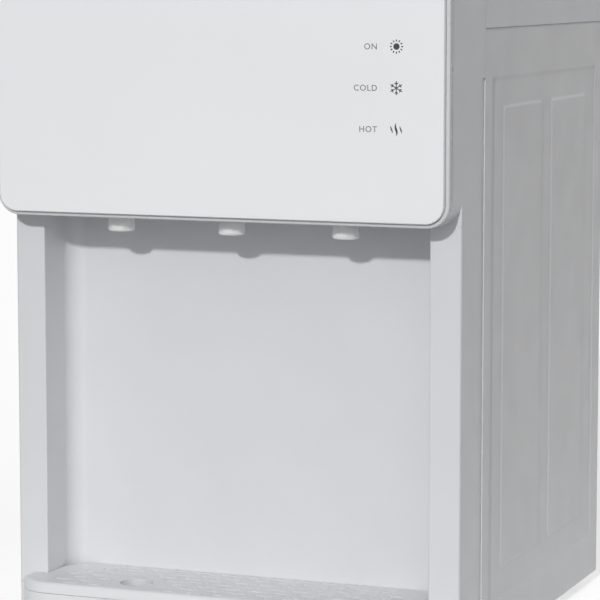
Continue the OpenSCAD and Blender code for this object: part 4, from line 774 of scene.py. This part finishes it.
def steam_mark(bm, centre, size, front, back):
    """Three rising wisps, the middle one tallest."""
    side = (0.54, 0.045, 0.12, 0.02)
    middle = (0.92, 0.07, 0.05, 0.045)
    steps, apart, end_share = 24, 0.35, 0.12
    for offset, (tall, thick, lean, sway) in ((-apart, side), (0.0, middle), (apart, side)):
        path = []
        for i in range(steps + 1):
            t = i / steps
            x = offset + lean * (0.5 - t) + sway * math.sin(math.tau * t)
            path.append((centre[0] + size * x, centre[1] + size * tall * (t - 0.5)))
        outline = stroke(path, lambda t: size * thick * (end_share + math.sin(math.pi * t)))
        prism(bm, outline, front, back)


def word(text, end, cap_height, front, back):
    """A printed word whose last letter ends at end, (x, z)."""
    curve = bpy.data.curves.new("mark_word_" + text.lower(), "FONT")
    curve.body = text
    curve.align_x = "RIGHT"
    curve.size = cap_height / CAPITAL_SHARE
    curve.space_character = 1.12
    curve.resolution_u = 4
    curve.extrude = (back - front) / 2
    piece = bpy.data.objects.new(curve.name, curve)
    bpy.context.scene.collection.objects.link(piece)
    piece.rotation_euler = (math.pi / 2, 0, 0)
    piece.location = (end[0], (front + back) / 2, end[1] - cap_height / 2)
    bpy.context.view_layer.update()
    evaluated = piece.evaluated_get(bpy.context.evaluated_depsgraph_get())
    mesh = bpy.data.meshes.new_from_object(evaluated)
    mesh.transform(piece.matrix_world)
    bpy.data.objects.remove(piece)
    done = bpy.data.objects.new(curve.name, mesh)
    bpy.context.scene.collection.objects.link(done)
    return done


# ---------------------------------------------------------------- operators


class DISPENSER_OT_covers(bpy.types.Operator):
    """Round the edges of the moulded covers, the back panel and the feet"""

    bl_idname = "dispenser.covers"
    bl_label = "Covers"
    bl_options = {"REGISTER", "UNDO"}

    def execute(self, context):
        for node in ("front_cover", "front_base"):
            skin(node, change=widen_reveal)
        skin("top_cover")
        skin("back_panel", edge=0.25 * MM)
        skin("base_pan", edge=0.3 * MM)
        skin("feet", edge=0.6 * MM, smooth=50.0)
        return {"FINISHED"}


class DISPENSER_OT_side_panels(bpy.types.Operator):
    """Make the pressed steel side panels"""

    bl_idname = "dispenser.side_panels"
    bl_label = "Side panels"
    bl_options = {"REGISTER", "UNDO"}

    def execute(self, context):
        for node in ("right_panel", "left_panel"):
            stand_in(node, "_pressed", side_panel_mesh(node), smooth=50.0)
        return {"FINISHED"}


class DISPENSER_OT_front_plate(bpy.types.Operator):
    """Make the glossy front plate and the bezel round it"""

    bl_idname = "dispenser.front_plate"
    bl_label = "Front plate"
    bl_options = {"REGISTER", "UNDO"}

    def execute(self, context):
        sizes = settings()[1]
        low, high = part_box("front_plate")
        front = low.y + sizes.ink
        edge = sizes.plate_edge
        inner, outer = Vector((low.x, low.z)), Vector((high.x, high.z))

        def loop(grow, y):
            """The plate's outline at y, moved outward by grow."""
            out = Vector((grow, grow))
            points = rounded_loop(inner - out, outer + out, sizes.plate_corner + grow)
            return [Vector((point.x, y, point.y)) for point in points]

        rings = [loop(0.0, high.y)]
        for sine, cosine in quarter(6):
            rings.append(loop(-edge * (1 - cosine), front + edge * (1 - sine)))
        bm = bmesh.new()
        loft(bm, rings, closed=False)
        stand_in("front_plate", "_gloss", bm, smooth=30.0)

        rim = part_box("front_bezel")[0]
        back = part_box("front_cover")[0].y
        margin = low.x - rim.x
        lip = 0.4 * MM
        rings = [loop(margin, back + sizes.skirt)]
        for sine, cosine in quarter(4):
            rings.append(loop(margin - edge * (1 - cosine), rim.y + edge * (1 - sine)))
        for sine, cosine in quarter(3):
            rings.append(loop(sizes.slit + lip * (1 - sine), rim.y + lip * (1 - cosine)))
        rings += [loop(sizes.slit, high.y), loop(-sizes.seat, high.y), loop(-sizes.seat, back)]
        bm = bmesh.new()
        loft(bm, rings, closed=True)
        stand_in("front_bezel", "_ring", bm, smooth=30.0)
        return {"FINISHED"}


class DISPENSER_OT_marks(bpy.types.Operator):
    """Print the icons and words beside the indicators"""

    bl_idname = "dispenser.marks"
    bl_label = "Marks"
    bl_options = {"REGISTER", "UNDO"}

    def execute(self, context):
        colours, sizes, _ = settings()
        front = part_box("front_plate")[0].y
        back = front + sizes.ink
        low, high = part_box("light_guides")
        x = (low.x + high.x) / 2
        radius = (high.x - low.x) / 2
        bottom, top = low.z + radius, high.z - radius
        body, slot = node_body("front_plate"), "black_plastic"
        dark = ink("mark_ink", tuple(colours.mark)).material
        grey = ink("word_ink", tuple(colours.words)).material
        rows = ((top, "sun", sun_mark, "ON"), ((top + bottom) / 2, "frost", frost_mark, "COLD"),
                (bottom, "steam", steam_mark, "HOT"))
        for z, name, draw, text in rows:
            bm = bmesh.new()
            draw(bm, (x, z), sizes.mark_size, front, back)
            mark = new_piece("mark_" + name, bm, slot, body)
            printed = word(text, (x - sizes.word_end, z), sizes.cap_height, front, back)
            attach(printed, body)
            paint(mark, dark)
            paint(printed, grey)
        return {"FINISHED"}


class DISPENSER_OT_taps(bpy.types.Operator):
    """Round the edges of the three taps"""

    bl_idname = "dispenser.taps"
    bl_label = "Taps"
    bl_options = {"REGISTER", "UNDO"}

    def execute(self, context):
        for node in ("hot_tap", "room_tap", "cold_tap"):
            skin(node, edge=0.3 * MM, smooth=45.0)
        return {"FINISHED"}


class DISPENSER_OT_tray(bpy.types.Operator):
    """Round the edges of the drip tray and its grille"""

    bl_idname = "dispenser.tray"
    bl_label = "Drip tray"
    bl_options = {"REGISTER", "UNDO"}

    def execute(self, context):
        skin("tray_basin", edge=0.4 * MM)
        skin("tray_grille", edge=0.3 * MM, smooth=40.0, bend=48.0)
        return {"FINISHED"}


class DISPENSER_OT_buttons(bpy.types.Operator):
    """Round the edges of the push buttons and the child lock"""

    bl_idname = "dispenser.buttons"
    bl_label = "Buttons"
    bl_options = {"REGISTER", "UNDO"}

    def execute(self, context):
        for node in ("hot_button", "room_button", "cold_button"):
            skin(node, edge=0.6 * MM, segments=3, bend=30.0)
        skin("child_lock", edge=0.25 * MM)
        return {"FINISHED"}


class DISPENSER_OT_seat(bpy.types.Operator):
    """Smooth the bottle seat and the feed probe"""

    bl_idname = "dispenser.seat"
    bl_label = "Bottle seat"
    bl_options = {"REGISTER", "UNDO"}

    def execute(self, context):
        skin("bottle_seat", edge=0.4 * MM, smooth=40.0)
        skin("feed_probe", edge=0.4 * MM, smooth=40.0)
        return {"FINISHED"}


class DISPENSER_OT_back(bpy.types.Operator):
    """Round the edges of what sits on the back"""

    bl_idname = "dispenser.back"
    bl_label = "Back fittings"
    bl_options = {"REGISTER", "UNDO"}

    def execute(self, context):
        skin("condenser_clips", edge=0.4 * MM)
        skin("switch_housings", edge=0.3 * MM)
        skin("cord_gland", edge=0.5 * MM, smooth=45.0)
        skin("drain_spigot", edge=0.3 * MM, smooth=45.0)
        skin("drain_cap", edge=0.3 * MM, smooth=45.0)
        for node in ("hot_rocker", "cold_rocker"):
            skin(node, edge=0.5 * MM, segments=3, bend=20.0)
        return {"FINISHED"}


class DISPENSER_OT_inside(bpy.types.Operator):
    """Give every solid of the frame the finish of its material slot"""

    bl_idname = "dispenser.inside"
    bl_label = "Inside"
    bl_options = {"REGISTER", "UNDO"}

    def execute(self, context):
        for node, piece in frame["nodes"].items():
            paint(piece, finishes()[node_slot(node)].material)
        return {"FINISHED"}


class DISPENSER_OT_stage(bpy.types.Operator):
    """Set up the floor, the soft studio light and the camera"""

    bl_idname = "dispenser.stage"
    bl_label = "Stage"
    bl_options = {"REGISTER", "UNDO"}

    def execute(self, context):
        stage = settings()[2]
        self.floor(stage)
        self.world(stage)
        self.key(stage)
        self.camera(stage)
        bpy.context.scene.view_settings.view_transform = "Standard"
        return {"FINISHED"}

    def key(self, stage):
        """A soft sun from the front, a little to the right."""
        sun = bpy.data.lights.new("key", "SUN")
        sun.energy = stage.key
        sun.angle = stage.key_spread
        lamp = bpy.data.objects.new("key", sun)
        lamp.rotation_euler = (math.pi / 2 - stage.key_height, 0, stage.key_turn)
        bpy.context.scene.collection.objects.link(lamp)

    def camera(self, stage):
        """The camera that sees the dispenser from its right front."""
        camera = bpy.data.cameras.new("camera")
        camera.sensor_width = SENSOR_WIDTH
        camera.lens = stage.focal
        camera.clip_end = VIEW_REACH
        viewer = bpy.data.objects.new("camera", camera)
        viewer.location = stage.camera
        viewer.rotation_euler = (math.pi / 2 - stage.pitch, 0, stage.yaw)
        bpy.context.scene.collection.objects.link(viewer)
        bpy.context.scene.camera = viewer

    def seen_directly(self, tree):
        """1 for rays that show the stage as it is: from the camera, in gloss and through glass."""
        path = tree.nodes.new("ShaderNodeLightPath")
        total = path.outputs["Is Camera Ray"]
        for other in ("Is Glossy Ray", "Is Transmission Ray"):
            add = tree.nodes.new("ShaderNodeMath")
            add.operation = "MAXIMUM"
            tree.links.new(total, add.inputs[0])
            tree.links.new(path.outputs[other], add.inputs[1])
            total = add.outputs["Value"]
        return total

    def floor(self, stage):
        """A wide floor that is as light as the background where the camera sees it."""
        material = bpy.data.materials.new("floor_white")
        material.use_nodes = True
        tree = material.node_tree
        shader = tree.nodes["Principled BSDF"]
        seen = self.seen_directly(tree)
        place = tree.nodes.new("ShaderNodeTexCoord")
        away = tree.nodes.new("ShaderNodeVectorMath")
        away.operation = "LENGTH"
        tree.links.new(place.outputs["Object"], away.inputs[0])
        fade = tree.nodes.new("ShaderNodeMapRange")
        values = {"From Min": stage.bounce_reach, "From Max": FADE_END * stage.bounce_reach,
                  "To Min": FLOOR_SHADE, "To Max": FLOOR_SHADE * stage.bounce}
        for socket, value in values.items():
            fade.inputs[socket].default_value = value
        tree.links.new(away.outputs["Value"], fade.inputs["Value"])
        shade = tree.nodes.new("ShaderNodeMix")
        shade.data_type = "FLOAT"
        shade.inputs["B"].default_value = FLOOR_SHADE
        tree.links.new(seen, shade.inputs["Factor"])
        tree.links.new(fade.outputs["Result"], shade.inputs["A"])
        tree.links.new(shade.outputs["Result"], shader.inputs["Base Color"])
        shader.inputs["Roughness"].default_value = 0.9
        shader.inputs["Specular IOR Level"].default_value = 0.0
        shader.inputs["Emission Color"].default_value = (1.0, 1.0, 1.0, 1.0)
        scale = tree.nodes.new("ShaderNodeMath")
        scale.operation = "MULTIPLY"
        scale.inputs[1].default_value = stage.floor_glow
        tree.links.new(seen, scale.inputs[0])
        tree.links.new(scale.outputs["Value"], shader.inputs["Emission Strength"])
        bm = bmesh.new()
        bmesh.ops.create_circle(bm, cap_ends=True, segments=96, radius=FLOOR_RADIUS)
        mesh = bpy.data.meshes.new("floor")
        bm.to_mesh(mesh)
        bm.free()
        mesh.materials.append(material)
        floor = bpy.data.objects.new("floor", mesh)
        bpy.context.scene.collection.objects.link(floor)

    def world(self, stage):
        """Soft light by direction, and an even background for the camera."""
        world = bpy.data.worlds.new("studio")
        world.use_nodes = True
        tree = world.node_tree
        background = tree.nodes["Background"]
        direction = tree.nodes.new("ShaderNodeTexCoord")
        toward = tree.nodes.new("ShaderNodeVectorMath")
        toward.operation = "DOT_PRODUCT"
        toward.inputs[1].default_value = (math.sin(stage.fill_turn), -math.cos(stage.fill_turn), 0.0)
        tree.links.new(direction.outputs["Generated"], toward.inputs[0])
        share = tree.nodes.new("ShaderNodeMapRange")
        share.inputs["From Min"].default_value = -1.0
        tree.links.new(toward.outputs["Value"], share.inputs["Value"])
        fill = tree.nodes.new("ShaderNodeValToRGB")
        stops = fill.color_ramp.elements
        stops.new(FILL_STOPS[1])
        levels = (stage.back_fill, stage.side_fill, stage.front_fill)
        for stop, place, level in zip(stops, FILL_STOPS, levels):
            stop.position = place
            stop.color = (level, level, level, 1.0)
        tree.links.new(share.outputs["Result"], fill.inputs["Fac"])
        mix = tree.nodes.new("ShaderNodeMix")
        mix.data_type = "FLOAT"
        tree.links.new(fill.outputs["Color"], mix.inputs["A"])
        mix.inputs["B"].default_value = stage.backdrop
        tree.links.new(self.seen_directly(tree), mix.inputs["Factor"])
        tree.links.new(mix.outputs["Result"], background.inputs["Strength"])
        background.inputs["Color"].default_value = (1.0, 1.0, 1.0, 1.0)
        bpy.context.scene.world = world


OPERATORS = (
    DISPENSER_OT_inside, DISPENSER_OT_covers, DISPENSER_OT_side_panels, DISPENSER_OT_front_plate,
    DISPENSER_OT_marks, DISPENSER_OT_taps, DISPENSER_OT_tray, DISPENSER_OT_buttons,
    DISPENSER_OT_seat, DISPENSER_OT_back, DISPENSER_OT_stage,
)


class DISPENSER_PT_panel(bpy.types.Panel):
    """Lists the dispenser's operators and settings."""

    bl_label = "Water dispenser"
    bl_space_type = "VIEW_3D"
    bl_region_type = "UI"
    bl_category = "Dispenser"

    def draw(self, context):
        for operator in OPERATORS:
            self.layout.operator(operator.bl_idname)
        for group in (context.scene.dispenser_colours, context.scene.dispenser_sizes,
                      context.scene.dispenser_stage):
            box = self.layout.box()
            for name in group.__annotations__:
                box.prop(group, name)


GROUPS = {"dispenser_colours": DispenserColours, "dispenser_sizes": DispenserSizes,
          "dispenser_stage": DispenserStage}


def register():
    """Adds the classes and the scene's settings."""
    for item in (*GROUPS.values(), *OPERATORS, DISPENSER_PT_panel):
        bpy.utils.register_class(item)
    for name, group in GROUPS.items():
        setattr(bpy.types.Scene, name, PointerProperty(type=group))


def unregister():
    """Takes the settings and the classes away again."""
    for name in GROUPS:
        delattr(bpy.types.Scene, name)
    for item in (DISPENSER_PT_panel, *reversed(OPERATORS), *GROUPS.values()):
        bpy.utils.unregister_class(item)


def main():
    """Registers the add-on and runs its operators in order."""
    register()
    for operator in OPERATORS:
        group, name = operator.bl_idname.split(".")
        getattr(getattr(bpy.ops, group), name)()


if __name__ == "__main__":
    main()
